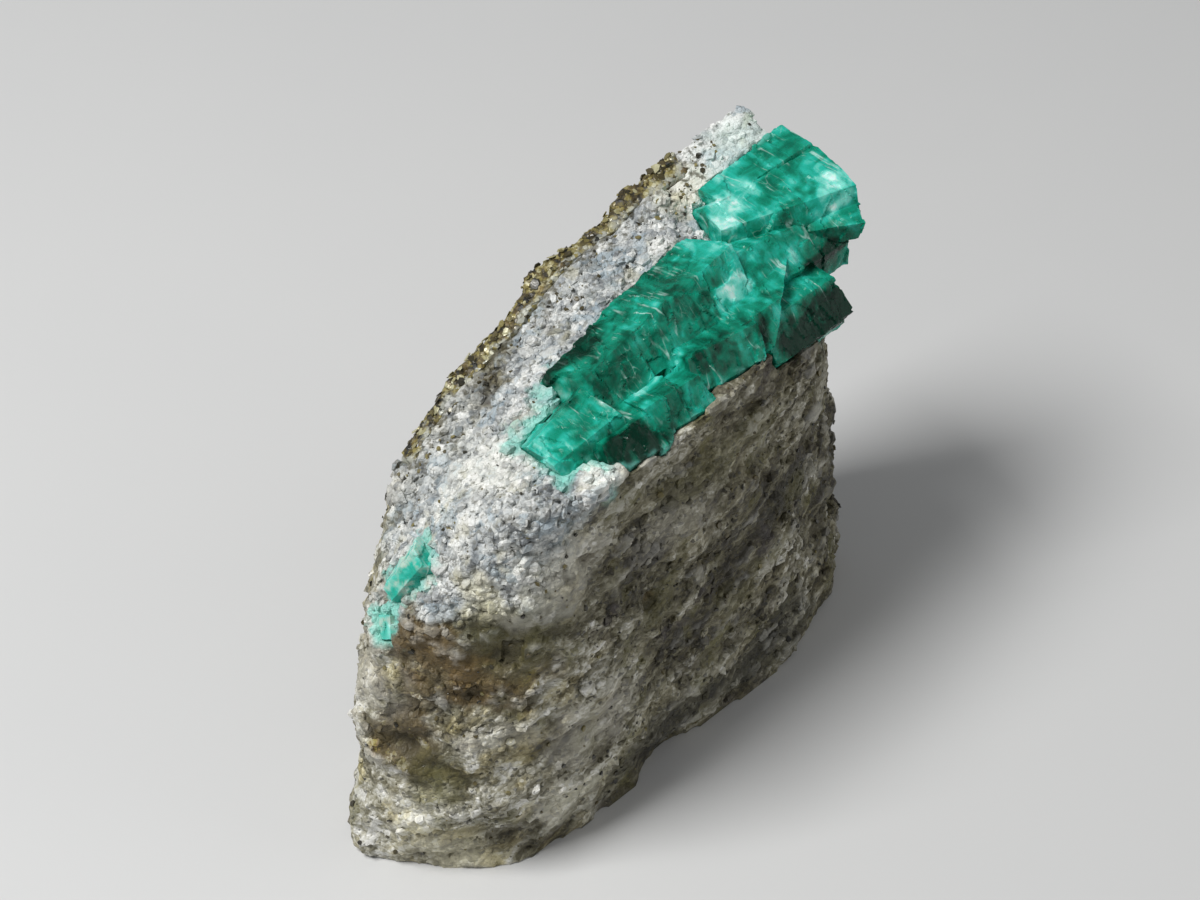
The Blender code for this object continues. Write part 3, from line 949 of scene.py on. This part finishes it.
@dataclass(frozen=True)
class EmeraldFinish:
    """Translucent mottled green, with pale clouds, healed cracks and painted shade on faces turned from the
    light.
    """

    name: str = "Emerald"
    black: Colour = (0.001, 0.030, 0.016)
    deep: Colour = (0.002, 0.105, 0.060)
    green: Colour = (0.006, 0.27, 0.170)
    bright: Colour = (0.022, 0.46, 0.35)
    pale: Colour = (0.22, 0.72, 0.61)
    veil: Colour = (0.68, 0.90, 0.84)
    paleness: float = 0.0
    transmission: float = 0.12
    skin: Colour = (0.22, 0.72, 0.61)
    skin_share: float = 0.6
    patches: tuple[TonePatch, ...] = (
        TonePatch((35.0, 5.0, 67.0), (15.0, 12.0, 6.5), 0.14),
        TonePatch((26.0, 5.0, 66.5), (4.5, 6.0, 4.0), 0.22, 1.8),
        TonePatch((37.5, -4.5, 65.5), (7.5, 3.5, 2.6), 0.26, 1.8),
        # Painted shade under the head's lip, as well as deeper green.
        TonePatch((35.5, -6.0, 60.3), (8.0, 7.0, 2.8), -0.30, 0.8),
        TonePatch((31.5, -7.5, 61.2), (6.5, 6.0, 1.3), 0.40, 0.8),
        # Painted shade on the dark block's front face, as well as deeper green.
        TonePatch((27.0, -13.0, 55.5), (11.5, 5.5, 5.5), -0.48, 0.5),
        TonePatch((21.0, -1.0, 64.0), (6.0, 7.0, 3.5), 0.17, 2.6),
        TonePatch((18.0, -6.6, 62.6), (3.6, 2.6, 2.8), 0.34, 2.6),
        # Painted shade on a front face, as well as deeper green.
        TonePatch((15.5, -11.0, 59.5), (3.6, 3.0, 3.0), -0.36, 1.2),
        TonePatch((-1.0, 1.0, 62.0), (11.0, 5.5, 5.0), -0.20, 2.2),
        # Painted shade on a front face of the lobes, as well as deeper green.
        TonePatch((8.0, -11.5, 61.0), (6.0, 4.0, 4.0), -0.16, 1.8),
        # Painted shade on the front faces of the lower-left end, as well as deeper green.
        TonePatch((-10.5, -14.0, 57.0), (7.0, 4.2, 6.0), -0.44, 0.8),
        TonePatch((-1.5, -8.8, 61.0), (9.0, 1.6, 3.4), 0.34, 1.0),
        TonePatch((-18.0, -4.5, 58.0), (8.5, 9.0, 6.5), 0.24, 1.6),
    )

    def tone(self, sheet: NodeSheet, place: object, effects: Effects) -> object:
        """How pale the crystal looks with its painted shade, from nearly black at 0 to white at 1.

        Args:
            sheet: The material's sheet.
            place: The place on the surface in millimetres.
            effects: The shared node groups.

        Returns:
            The tone's socket.
        """
        broad = sheet.remap(sheet.noise(place, 7.0, 3.0, 0.5), 0.36, 0.62)
        clouds = sheet.remap(sheet.noise(sheet.scaled(place, (0.8, 1.0, 1.0)), 2.2, 5.0, 0.9), 0.34, 0.66)
        ribs = sheet.remap(sheet.noise(sheet.scaled(place, (1.0, 0.16, 0.3)), 1.5, 3.0, 0.4), 0.38, 0.68)
        ribs = sheet.times(ribs, sheet.remap(sheet.noise(place, 5.0, 2.0), 0.40, 0.60))
        level = sheet.weighted((broad, 0.26), (clouds, 0.20), (ribs, 0.24))
        level = sheet.plus(level, 0.10 + self.paleness)
        ragged = sheet.swing(place, 4.0, 4.0)
        for patch in self.patches:
            mask = effects.mask(sheet, place, patch, ragged)
            level = sheet.plus(level, sheet.times(mask, patch.lift))
        return level

    def cross_cracks(self, sheet: NodeSheet, place: object) -> object:
        """Long fine cracks straight across the crystal, which fade in and out.

        Args:
            sheet: The material's sheet.
            place: The place on the surface in millimetres.

        Returns:
            The socket of the cracks' mask.
        """
        waves = sheet.noise(sheet.scaled(place, (0.9, 0.10, 0.20)), 2.6, 2.0, 0.2)
        away = sheet.maths("ABSOLUTE", sheet.maths("SUBTRACT", waves, 0.5))
        fade = sheet.remap(sheet.noise(place, 3.0, 4.0), 0.50, 0.70)
        return sheet.times(sheet.remap(away, 0.020, 0.0), fade)

    def material(self, effects: Effects) -> bpy.types.Material:
        """The finish as a material.

        Args:
            effects: The shared node groups.

        Returns:
            The new material.
        """
        material, sheet, shader = new_material(self.name, self.green)
        place = sheet.place_in_mm()
        stops = (
            (0.04, self.black),
            (0.20, self.deep),
            (0.42, self.green),
            (0.62, self.bright),
            (0.84, self.pale),
            (1.0, self.veil),
        )
        level = self.tone(sheet, place, effects)
        colour = sheet.ramp(level, stops)
        values = {"Place": place, "Cracks per mm": (0.9, 0.3, 0.4), "Width": 0.04, "Cover": 0.36}
        crackle = sheet.group(effects.veins, values).outputs["Mask"]
        lines = sheet.maths("MAXIMUM", self.cross_cracks(sheet, place), sheet.times(crackle, 0.7))
        lines = sheet.times(lines, sheet.remap(level, 0.02, 0.40, 0.10, 0.60))
        colour = sheet.mix(lines, colour, self.veil)
        skin = sheet.remap(sheet.kept("by_rock"), 0.35, 0.95)
        skin = sheet.times(skin, sheet.remap(sheet.noise(place, 2.0, 4.0), 0.46, 0.66))
        colour = sheet.lay(colour, self.skin, skin, self.skin_share)
        sheet.feed(shader.inputs["Base Color"], colour)
        rough = sheet.remap(sheet.noise(place, 1.8, 4.0), 0.38, 0.64, 0.14, 0.38)
        sheet.feed(shader.inputs["Roughness"], rough)
        grit = sheet.noise(sheet.scaled(place, (1.9, 0.8, 1.0)), 0.55, 4.0, 0.8)
        sheet.roughen(shader, grit, 0.45, 0.13)
        plain = {
            "IOR": 1.58,
            "Specular IOR Level": 0.10,
            "Transmission Weight": self.transmission,
            "Subsurface Weight": 0.25,
            "Subsurface Radius": (0.25, 1.0, 0.75),
            "Subsurface Scale": 1.2 * MM,
        }
        for name, value in plain.items():
            sheet.feed(shader.inputs[name], value)
        return material


@dataclass(frozen=True)
class GrainFinish:
    """Small grown pieces, each with its own tone between the first and the last colour."""

    name: str
    colours: tuple[Colour, ...]
    smoothest: float
    roughest: float
    metallic: float = 0.0

    def material(self) -> bpy.types.Material:
        """The finish as a material.

        Returns:
            The new material.
        """
        material, sheet, shader = new_material(self.name, self.colours[-1])
        place = sheet.place_in_mm()
        level = sheet.plus(sheet.kept("tone"), sheet.swing(place, 0.7, 3.0, 0.5))
        last = len(self.colours) - 1
        stops = tuple((number / last, colour) for number, colour in enumerate(self.colours))
        sheet.feed(shader.inputs["Base Color"], sheet.ramp(level, stops))
        rough = sheet.remap(sheet.noise(place, 1.1, 2.0), 0.35, 0.65, self.smoothest, self.roughest)
        sheet.feed(shader.inputs["Roughness"], rough)
        sheet.roughen(shader, sheet.noise(place, 0.25, 2.0), 0.4, 0.1)
        shader.inputs["IOR"].default_value = 1.54
        shader.inputs["Metallic"].default_value = self.metallic
        return material


DARK_FLAKES = GrainFinish(
    "Dark mica flakes",
    ((0.014, 0.014, 0.011), (0.035, 0.031, 0.018), (0.10, 0.080, 0.032), (0.22, 0.19, 0.075)),
    smoothest=0.18,
    roughest=0.45,
)
GOLD_FLAKES = GrainFinish(
    "Golden mica flakes",
    ((0.016, 0.016, 0.011), (0.075, 0.06, 0.024), (0.20, 0.17, 0.055), (0.45, 0.43, 0.27)),
    smoothest=0.25,
    roughest=0.55,
    metallic=0.1,
)
PALE_EMERALD = EmeraldFinish(
    name="Pale emerald",
    paleness=0.36,
    transmission=0.1,
    skin=(0.52, 0.64, 0.55),
    skin_share=0.85,
    patches=(),
)


@dataclass(frozen=True)
class FloorFinish:
    """Plain pale paper."""

    colour: Colour = (0.62, 0.62, 0.61)
    shade: Colour = (0.60, 0.60, 0.595)

    def material(self) -> bpy.types.Material:
        """The finish as a material.

        Returns:
            The new material.
        """
        material, sheet, shader = new_material("Pale paper", self.colour)
        place = sheet.place_in_mm()
        sheet.feed(shader.inputs["Base Color"], sheet.mix(sheet.noise(place, 60.0), self.colour, self.shade))
        sheet.feed(shader.inputs["Roughness"], sheet.remap(sheet.noise(place, 8.0), 0.3, 0.7, 0.85, 0.95))
        sheet.roughen(shader, sheet.noise(place, 1.0), 0.05, 0.1)
        return material


# Pieces


@dataclass(frozen=True)
class Hollow:
    """A small pit in the rock."""

    middle: Triple
    radius: float
    depth: float

    def depths(self, places: np.ndarray) -> np.ndarray:
        """How deep the pit is at each place, in millimetres."""
        distance = np.linalg.norm(places - np.array(self.middle), axis=1)
        return self.depth * ease(1.0 - distance / self.radius)


@dataclass(frozen=True)
class Sprinkling:
    """Grains or flakes of one kind that have grown over a surface, joined in one piece."""

    name: str
    shape: GrainShape
    slot: Slot
    count: int
    widths: tuple[float, float]
    thickness: float
    raised: float
    tilt: float
    seed: int

    def random(self, rows: int, channel: int) -> np.ndarray:
        """Even random numbers from 0 to 1, one a row."""
        number = np.arange(rows)
        return even_random(np.stack([number, number * 0, number * 0], axis=1), self.seed * 31 + channel)

    def random_ways(self, rows: int, channel: int) -> np.ndarray:
        """Random directions, one a row, of lengths up to 1."""
        return np.stack([self.random(rows, channel + axis) * 2.0 - 1.0 for axis in range(3)], axis=1)

    def template(self) -> tuple[np.ndarray, np.ndarray]:
        """The points of one piece of width and height 1, and the corners of its triangles.

        Returns:
            The points, one a row, and the corners, three whole numbers a row.
        """
        bm = bmesh.new()
        if self.shape is GrainShape.LUMP:
            bmesh.ops.create_icosphere(bm, subdivisions=1, radius=0.5)
        else:
            bmesh.ops.create_cone(bm, cap_ends=True, segments=6, radius1=0.5, radius2=0.5, depth=1.0)
        bmesh.ops.triangulate(bm, faces=bm.faces)
        bm.verts.index_update()
        points = np.array([tuple(vertex.co) for vertex in bm.verts])
        corners = np.array([[vertex.index for vertex in face.verts] for face in bm.faces])
        bm.free()
        return points, corners

    def build(self, host: Surface, cover: np.ndarray) -> bpy.types.Object:
        """Sprinkle the pieces over a surface.

        Args:
            host: The surface.
            cover: How thickly they lie at each of its points, from 0 to 1.

        Returns:
            The new object, with each piece's random tone kept on its points.
        """
        chosen = np.flatnonzero(self.random(len(cover), 0) * cover.sum() < cover * self.count)
        rows = len(chosen)
        normals = host.normals[chosen] + self.random_ways(rows, 1) * self.tilt
        normals /= np.linalg.norm(normals, axis=1)[:, None]
        sides = np.cross(normals, self.random_ways(rows, 4) + np.array((0.01, 0.02, 0.03)))
        sides /= np.linalg.norm(sides, axis=1)[:, None]
        others = np.cross(normals, sides)
        low, high = self.widths
        width = low + (high - low) * self.random(rows, 7) ** 2.5
        narrow = width * (0.6 + 0.4 * self.random(rows, 8))
        thick = width * self.thickness * (0.7 + 0.6 * self.random(rows, 9))
        points, corners = self.template()
        uneven = 0.78 + 0.44 * self.random(rows * len(points), 10).reshape(rows, len(points))
        across = points[None, :, 0] * width[:, None] * uneven
        along = points[None, :, 1] * narrow[:, None] * uneven
        upward = (points[None, :, 2] * uneven + self.raised) * thick[:, None]
        places = host.places[chosen][:, None, :] + across[:, :, None] * sides[:, None, :]
        places = places + along[:, :, None] * others[:, None, :] + upward[:, :, None] * normals[:, None, :]
        places[:, :, 2] = np.maximum(places[:, :, 2], 0.0)
        faces = corners[None, :, :] + (np.arange(rows) * len(points))[:, None, None]
        mesh = bpy.data.meshes.new(self.name)
        mesh.from_pydata((places.reshape(-1, 3) * MM).tolist(), [], faces.reshape(-1, 3).tolist())
        surface = Surface(mesh)
        for name, values in host.kept.items():
            if name != "tone":
                surface.keep(name, np.repeat(values[chosen], len(points)))
        surface.keep("tone", np.repeat(self.random(rows, 11), len(points)))
        return show(self.name, mesh, ())


@dataclass
class MatrixRock:
    """The broken block of rock that the emerald and the mica sit in."""

    face_size: float = 0.58
    base_fade: float = 1.2
    seat_reach: float = 1.1
    emerald_reach: float = 5.0
    mica_reach: float = 6.0
    finish: RockFinish = field(default_factory=RockFinish)
    blocks: BrokenCells = BrokenCells((7.0, 4.0, 3.2), seed=11, tilt=0.9, step=0.5)
    lumps: BrokenCells = BrokenCells((2.6, 1.7, 1.5), seed=23, tilt=0.9, step=0.6)
    sugar: BrokenCells = BrokenCells((1.15, 0.95, 0.95), seed=37, tilt=0.8, step=0.8)
    swell: SoftNoise = SoftNoise((9.0, 6.0, 4.0), seed=5, octaves=3)
    tint: SoftNoise = SoftNoise((10.0, 10.0, 10.0), seed=61, octaves=2)
    hollows: tuple[Hollow, ...] = (
        Hollow((-34.2, -10.2, 30.6), 2.6, 1.2),
        Hollow((-40.0, -4.2, 21.0), 3.0, 1.3),
        Hollow((-31.5, -12.5, 36.5), 2.2, 0.8),
        Hollow((-24.0, -16.5, 14.5), 3.0, 0.7),
        Hollow((-8.8, -16.6, 32.6), 1.8, 0.8),
        Hollow((2.0, -16.8, 40.0), 3.4, 0.8),
        Hollow((14.0, -16.6, 20.0), 3.4, 0.7),
    )
    surface: Surface = field(init=False)
    quartz: np.ndarray = field(init=False)
    from_emerald: np.ndarray = field(init=False)
    from_mica: np.ndarray = field(init=False)

    def relief(self, places: np.ndarray, quartz: np.ndarray) -> np.ndarray:
        """How far the fine broken surface stands out, in millimetres.

        Args:
            places: One row of three millimetre coordinates a place.
            quartz: How much of each place is quartz, from 0 to 1.

        Returns:
            One height a place.
        """
        blocks = self.blocks.heights(places) * (0.50 - 0.15 * quartz)
        lumps = self.lumps.heights(places) * (0.26 + 0.10 * quartz)
        sugar = self.sugar.heights(places) * (0.17 + 0.07 * quartz)
        heights = blocks + lumps + sugar + self.swell.heights(places) * 0.24
        heights *= 1.0 - 0.5 * self.milky(places) * quartz
        for hollow in self.hollows:
            heights -= hollow.depths(places)
        return heights

    def quartz_at(self, places: np.ndarray) -> np.ndarray:
        """How much of the surface is quartz at each place, from 0 to 1.

        Args:
            places: One row of three millimetre coordinates a place.

        Returns:
            One share a place.
        """
        finish = self.finish
        line = np.minimum(places[:, 0] * finish.near_slope + finish.near_line, finish.ridge_height)
        in_front = rise(places[:, 1], *finish.front) * rise(places[:, 0], *finish.off_near_end)
        return ease((places[:, 2] - line - in_front * finish.front_rise + 1.5) / 3.0)

    def milky(self, places: np.ndarray) -> np.ndarray:
        """How smooth and milky the quartz is: most at the far end of the top."""
        return rise(places[:, 0], 20.0, 28.0)

    def build(self) -> bpy.types.Object:
        """The rock's finely broken surface, which closes on what is seated in it.

        Returns:
            The new object.
        """
        values = {"mode": "VOXEL", "voxel_size": self.face_size * MM}
        mesh = fine_mesh(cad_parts["matrix"], "quartz_and_schist_rock", values)
        surface = Surface(mesh)
        start = surface.places
        emerald = distances_to(node_tree_of(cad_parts["emerald_crystal"]), start, self.emerald_reach)
        for grain in ("emerald_grain_upper", "emerald_grain_lower"):
            tree = node_tree_of(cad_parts[grain])
            emerald = np.minimum(emerald, distances_to(tree, start, self.emerald_reach / 2) * 2.0)
        rind = distances_to(node_tree_of(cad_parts["mica_rind"]), start, self.mica_reach)
        quartz = self.quartz_at(start)
        heights = self.relief(start, quartz)
        standing = heights * 0.55 + 0.5
        at_seat = 1.0 - ease(np.minimum(emerald, rind) / self.seat_reach)
        heights = heights * (1.0 - 0.6 * at_seat) + 0.28 * at_seat
        heights *= ease(start[:, 2] / self.base_fade)
        surface.raise_by(heights)
        surface.places[:, 2] = np.maximum(surface.places[:, 2], 0.0)
        surface.keep("standing", standing)
        surface.keep("tone", np.full(len(start), 0.5))
        tail = 1.0 - 0.75 * rise(start[:, 0], -16.0, -2.0)
        surface.keep("by_emerald", (1.0 - emerald / self.emerald_reach) * tail)
        stained = np.maximum(rise(start[:, 2], 30.0, 38.0), rise(start[:, 1], 9.0, 14.0))
        surface.keep("by_mica", (1.0 - rind / self.mica_reach) * stained)
        surface.write()
        self.surface = surface
        self.quartz = quartz
        self.from_emerald = emerald
        self.from_mica = rind
        shade(mesh, 42.0)
        return show("quartz_and_schist_rock", mesh, ("matrix",))

    def bare(self) -> np.ndarray:
        """1 on the open surface, and 0 on the base and beside what is seated in the rock."""
        open_face = (np.minimum(self.from_emerald, self.from_mica) > 0.9).astype(float)
        return open_face * ease((self.surface.places[:, 2] - 0.8) / 1.5)

    def quartz_cover(self) -> np.ndarray:
        """How thickly quartz grains lie: mostly on the white top, a few on the schist.

        Returns:
            One number from 0 to 1 a point.
        """
        patchy = ease(self.tint.heights(self.surface.places) * 1.2 + 0.5)
        crumbly = self.quartz * (1.0 - 0.85 * self.milky(self.surface.places))
        return self.bare() * (crumbly * (0.45 + 0.55 * patchy) + (1.0 - self.quartz) * 0.22 * patchy)

    def fleck_cover(self) -> np.ndarray:
        """How thickly dark flakes lie: mostly on the white top beside the mica."""
        return self.bare() * (0.05 + 0.9 * np.clip(self.surface.kept["by_mica"], 0.0, 1.0))

    def dress(self, piece: bpy.types.Object, effects: Effects) -> None:
        """Give the rock its finish."""
        piece.data.materials.append(self.finish.material(effects))


@dataclass
class MicaRind:
    """The flaky layer on the back of the rock."""

    face_size: float = 0.5
    rock_reach: float = 2.6
    finish: MicaFinish = MicaFinish()
    sheets: BrokenCells = BrokenCells((3.0, 0.8, 2.6), seed=51, tilt=0.8, step=0.7)
    flakes: BrokenCells = BrokenCells((1.3, 0.6, 1.2), seed=67, tilt=0.8, step=0.8)
    swell: SoftNoise = SoftNoise((6.0, 4.0, 6.0), seed=71, octaves=3)
    surface: Surface = field(init=False)

    def build(self) -> bpy.types.Object:
        """The rind's flaky surface.

        Returns:
            The new object.
        """
        values = {"mode": "VOXEL", "voxel_size": self.face_size * MM}
        mesh = fine_mesh(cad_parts["mica_rind"], "flaky_mica_rind", values)
        surface = Surface(mesh)
        rock = distances_to(node_tree_of(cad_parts["matrix"]), surface.places, self.rock_reach)
        heights = self.sheets.heights(surface.places) * 0.30 + self.flakes.heights(surface.places) * 0.22
        by_rock = 1.0 - rock / self.rock_reach
        heights += self.swell.heights(surface.places) * 0.25 + 0.05 + 0.22 * by_rock
        surface.raise_by(heights)
        surface.keep("by_rock", by_rock)
        surface.write()
        self.surface = surface
        shade(mesh, 38.0)
        return show("flaky_mica_rind", mesh, ("mica_rind",))

    def flake_cover(self) -> np.ndarray:
        """How thickly flakes lie: all over the back, thinning out along the top edge's inner side.

        Returns:
            One number from 0 to 1 a point.
        """
        outward = self.surface.normals[:, 1] + np.maximum(self.surface.normals[:, 2], 0.0)
        off_rock = ease(2.2 - 3.0 * self.surface.kept["by_rock"])
        on_back = ease((self.surface.normals[:, 1] - 0.45) * 4.0)
        return ease(outward * 2.0) * np.maximum(off_rock, on_back)

    def dress(self, piece: bpy.types.Object, effects: Effects) -> None:
        """Give the rind its finish."""
        piece.data.materials.append(self.finish.material(effects))


@dataclass
class EmeraldCrystal:
    """The fractured crystal, with glassy curved and stepped breaks."""

    depth: int = 8
    rock_reach: float = 1.6
    finish: EmeraldFinish = EmeraldFinish()
    faces: BrokenCells = BrokenCells((6.5, 8.0, 7.0), seed=83, tilt=0.8, step=0.3)
    slices: BrokenCells = BrokenCells((2.1, 8.0, 5.0), seed=89, tilt=0.9, step=0.5)
    chips: BrokenCells = BrokenCells((1.3, 2.4, 2.0), seed=97, tilt=0.9, step=0.5)
    ripple: SoftNoise = SoftNoise((1.6, 3.6, 3.6), seed=101, octaves=2)

    def build(self) -> bpy.types.Object:
        """The crystal's broken surface.

        Returns:
            The new object.
        """
        values = {"mode": "SHARP", "octree_depth": self.depth, "scale": 0.95, "sharpness": 1.0}
        mesh = fine_mesh(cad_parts["emerald_crystal"], "broken_emerald", values)
        surface = Surface(mesh)
        start = surface.places
        rock = distances_to(node_tree_of(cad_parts["matrix"]), start, self.rock_reach)
        heights = self.faces.heights(start) * 0.34 + self.slices.heights(start) * 0.24
        heights += self.chips.heights(start) * 0.10 + self.ripple.heights(start) * 0.08
        surface.raise_by(heights)
        surface.keep("by_rock", 1.0 - rock / self.rock_reach)
        surface.write()
        shade(mesh, 30.0)
        return show("broken_emerald", mesh, ("emerald_crystal",))

    def dress(self, piece: bpy.types.Object, effects: Effects) -> None:
        """Give the crystal its finish."""
        piece.data.materials.append(self.finish.material(effects))


@dataclass
class EmeraldGrain:
    """A small emerald in the near end of the rock."""

    node: str
    name: str
    depth: int = 5
    chips: BrokenCells = BrokenCells((1.6, 1.5, 1.5), seed=131, tilt=0.9, step=0.5)

    def build(self) -> bpy.types.Object:
        """The grain's broken surface.

        Returns:
            The new object.
        """
        values = {"mode": "SHARP", "octree_depth": self.depth, "scale": 0.9, "sharpness": 1.0}
        mesh = fine_mesh(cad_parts[self.node], self.name, values)
        surface = Surface(mesh)
        surface.raise_by(self.chips.heights(surface.places) * 0.2)
        surface.keep("by_rock", np.full(len(surface.places), 1.0))
        surface.write()
        shade(mesh, 30.0)
        return show(self.name, mesh, (self.node,))

    def dress(self, piece: bpy.types.Object, material: bpy.types.Material) -> None:
        """Give the grain its finish."""
        piece.data.materials.append(material)


QUARTZ_GRAINS = Sprinkling(
    "quartz_grains",
    GrainShape.LUMP,
    Slot.ROCK,
    count=5200,
    widths=(0.7, 3.0),
    thickness=0.6,
    raised=-0.27,
    tilt=0.6,
    seed=3,
)
FLECKS = Sprinkling(
    "dark_mica_flecks",
    GrainShape.FLAKE,
    Slot.MICA,
    count=1500,
    widths=(0.25, 0.9),
    thickness=0.3,
    raised=0.4,
    tilt=0.5,
    seed=5,
)
FLAKES = Sprinkling(
    "golden_mica_flakes",
    GrainShape.FLAKE,
    Slot.MICA,
    count=3000,
    widths=(0.4, 1.5),
    thickness=0.10,
    raised=0.5,
    tilt=0.3,
    seed=7,
)


@dataclass(frozen=True)
class Studio:
    """The pale floor, the soft lights and the camera."""

    floor_size: float = 4000.0
    aim: Triple = (6.72, 7.0, 34.0)
    azimuth: float = -46.0
    elevation: float = 42.0
    distance: float = 430.0
    pixels_per_mm: float = 7.5
    picture_width: int = 1200
    sensor: float = 36.0
    finish: FloorFinish = FloorFinish()

    def floor(self) -> None:
        """A level sheet under the specimen."""
        bm = bmesh.new()
        bmesh.ops.create_grid(bm, x_segments=2, y_segments=2, size=self.floor_size * MM / 2)
        mesh = bpy.data.meshes.new("pale_floor")
        bm.to_mesh(mesh)
        bm.free()
        sheet = bpy.data.objects.new("pale_floor", mesh)
        bpy.context.scene.collection.objects.link(sheet)
        mesh.materials.append(self.finish.material())

    def light(self, name: str, place: Triple, size: float, power: float, colour: Colour) -> None:
        """A soft square light aimed at the specimen.

        Args:
            name: The light's name.
            place: Where it hangs, in millimetres.
            size: The length of its side in millimetres.
            power: Its power in watts.
            colour: Its colour.
        """
        data = bpy.data.lights.new(name, "AREA")
        data.size = size * MM
        data.energy = power
        data.color = colour
        lamp = bpy.data.objects.new(name, data)
        lamp.location = Vector(place) * MM
        aim = (Vector(self.aim) - Vector(place)).to_track_quat("-Z", "Y")
        lamp.rotation_euler = aim.to_euler()
        bpy.context.scene.collection.objects.link(lamp)

    def lights(self) -> None:
        """A soft key over the near end and the back, a weak fill and an even surround."""
        self.light("key", (-330.0, 130.0, 620.0), 260.0, 5.0, (1.0, 1.0, 1.0))
        self.light("fill", (420.0, -520.0, 300.0), 500.0, 0.8, (1.0, 0.98, 0.95))
        world = bpy.data.worlds.new("pale_surround")
        world.use_nodes = True
        back = world.node_tree.nodes["Background"]
        back.inputs["Color"].default_value = (0.93, 0.96, 1.0, 1.0)
        back.inputs["Strength"].default_value = 0.22
        bpy.context.scene.world = world

    def camera(self) -> None:
        """The camera at the photograph's angle and distance."""
        turn, rise = math.radians(self.azimuth), math.radians(self.elevation)
        back = Vector((math.sin(turn) * math.cos(rise), -math.cos(turn) * math.cos(rise), math.sin(rise)))
        data = bpy.data.cameras.new("photo_view")
        data.sensor_width = self.sensor
        data.lens = self.sensor * self.pixels_per_mm * self.distance / self.picture_width
        data.clip_start = 10.0 * MM
        view = bpy.data.objects.new("photo_view", data)
        view.location = (Vector(self.aim) + back * self.distance) * MM
        view.rotation_euler = (-back).to_track_quat("-Z", "Y").to_euler()
        bpy.context.scene.collection.objects.link(view)
        bpy.context.scene.camera = view

    def build(self) -> None:
        """Set up all of it."""
        self.floor()
        self.lights()
        self.camera()
        bpy.context.scene.view_settings.view_transform = "Standard"


def report(piece: bpy.types.Object) -> None:
    """Log a piece's name and its number of triangles."""
    piece.data.calc_loop_triangles()
    log.info("%s: %d triangles", piece.name, len(piece.data.loop_triangles))


def main() -> None:
    """Build and dress the pieces in order."""
    logging.basicConfig(level=logging.INFO, format="%(message)s")
    Studio().build()
    effects = Effects()

    rock = MatrixRock()
    rock_piece = rock.build()
    rock.dress(rock_piece, effects)
    report(rock_piece)

    rind = MicaRind()
    rind_piece = rind.build()
    rind.dress(rind_piece, effects)
    report(rind_piece)

    sprinklings = (
        (QUARTZ_GRAINS, rock.surface, rock.quartz_cover(), rock_piece.data.materials[0]),
        (FLECKS, rock.surface, rock.fleck_cover(), DARK_FLAKES.material()),
        (FLAKES, rind.surface, rind.flake_cover(), GOLD_FLAKES.material()),
    )
    for sprinkling, host, cover, material in sprinklings:
        grown = sprinkling.build(host, cover)
        grown.data.materials.append(material)
        report(grown)

    emerald = EmeraldCrystal()
    emerald_piece = emerald.build()
    emerald.dress(emerald_piece, effects)
    report(emerald_piece)

    pale_emerald = PALE_EMERALD.material(effects)
    for size in ("upper", "lower"):
        grain = EmeraldGrain(f"emerald_grain_{size}", f"{size}_emerald_grain")
        grain_piece = grain.build()
        grain.dress(grain_piece, pale_emerald)
        report(grain_piece)


if __name__ == "__main__":
    main()
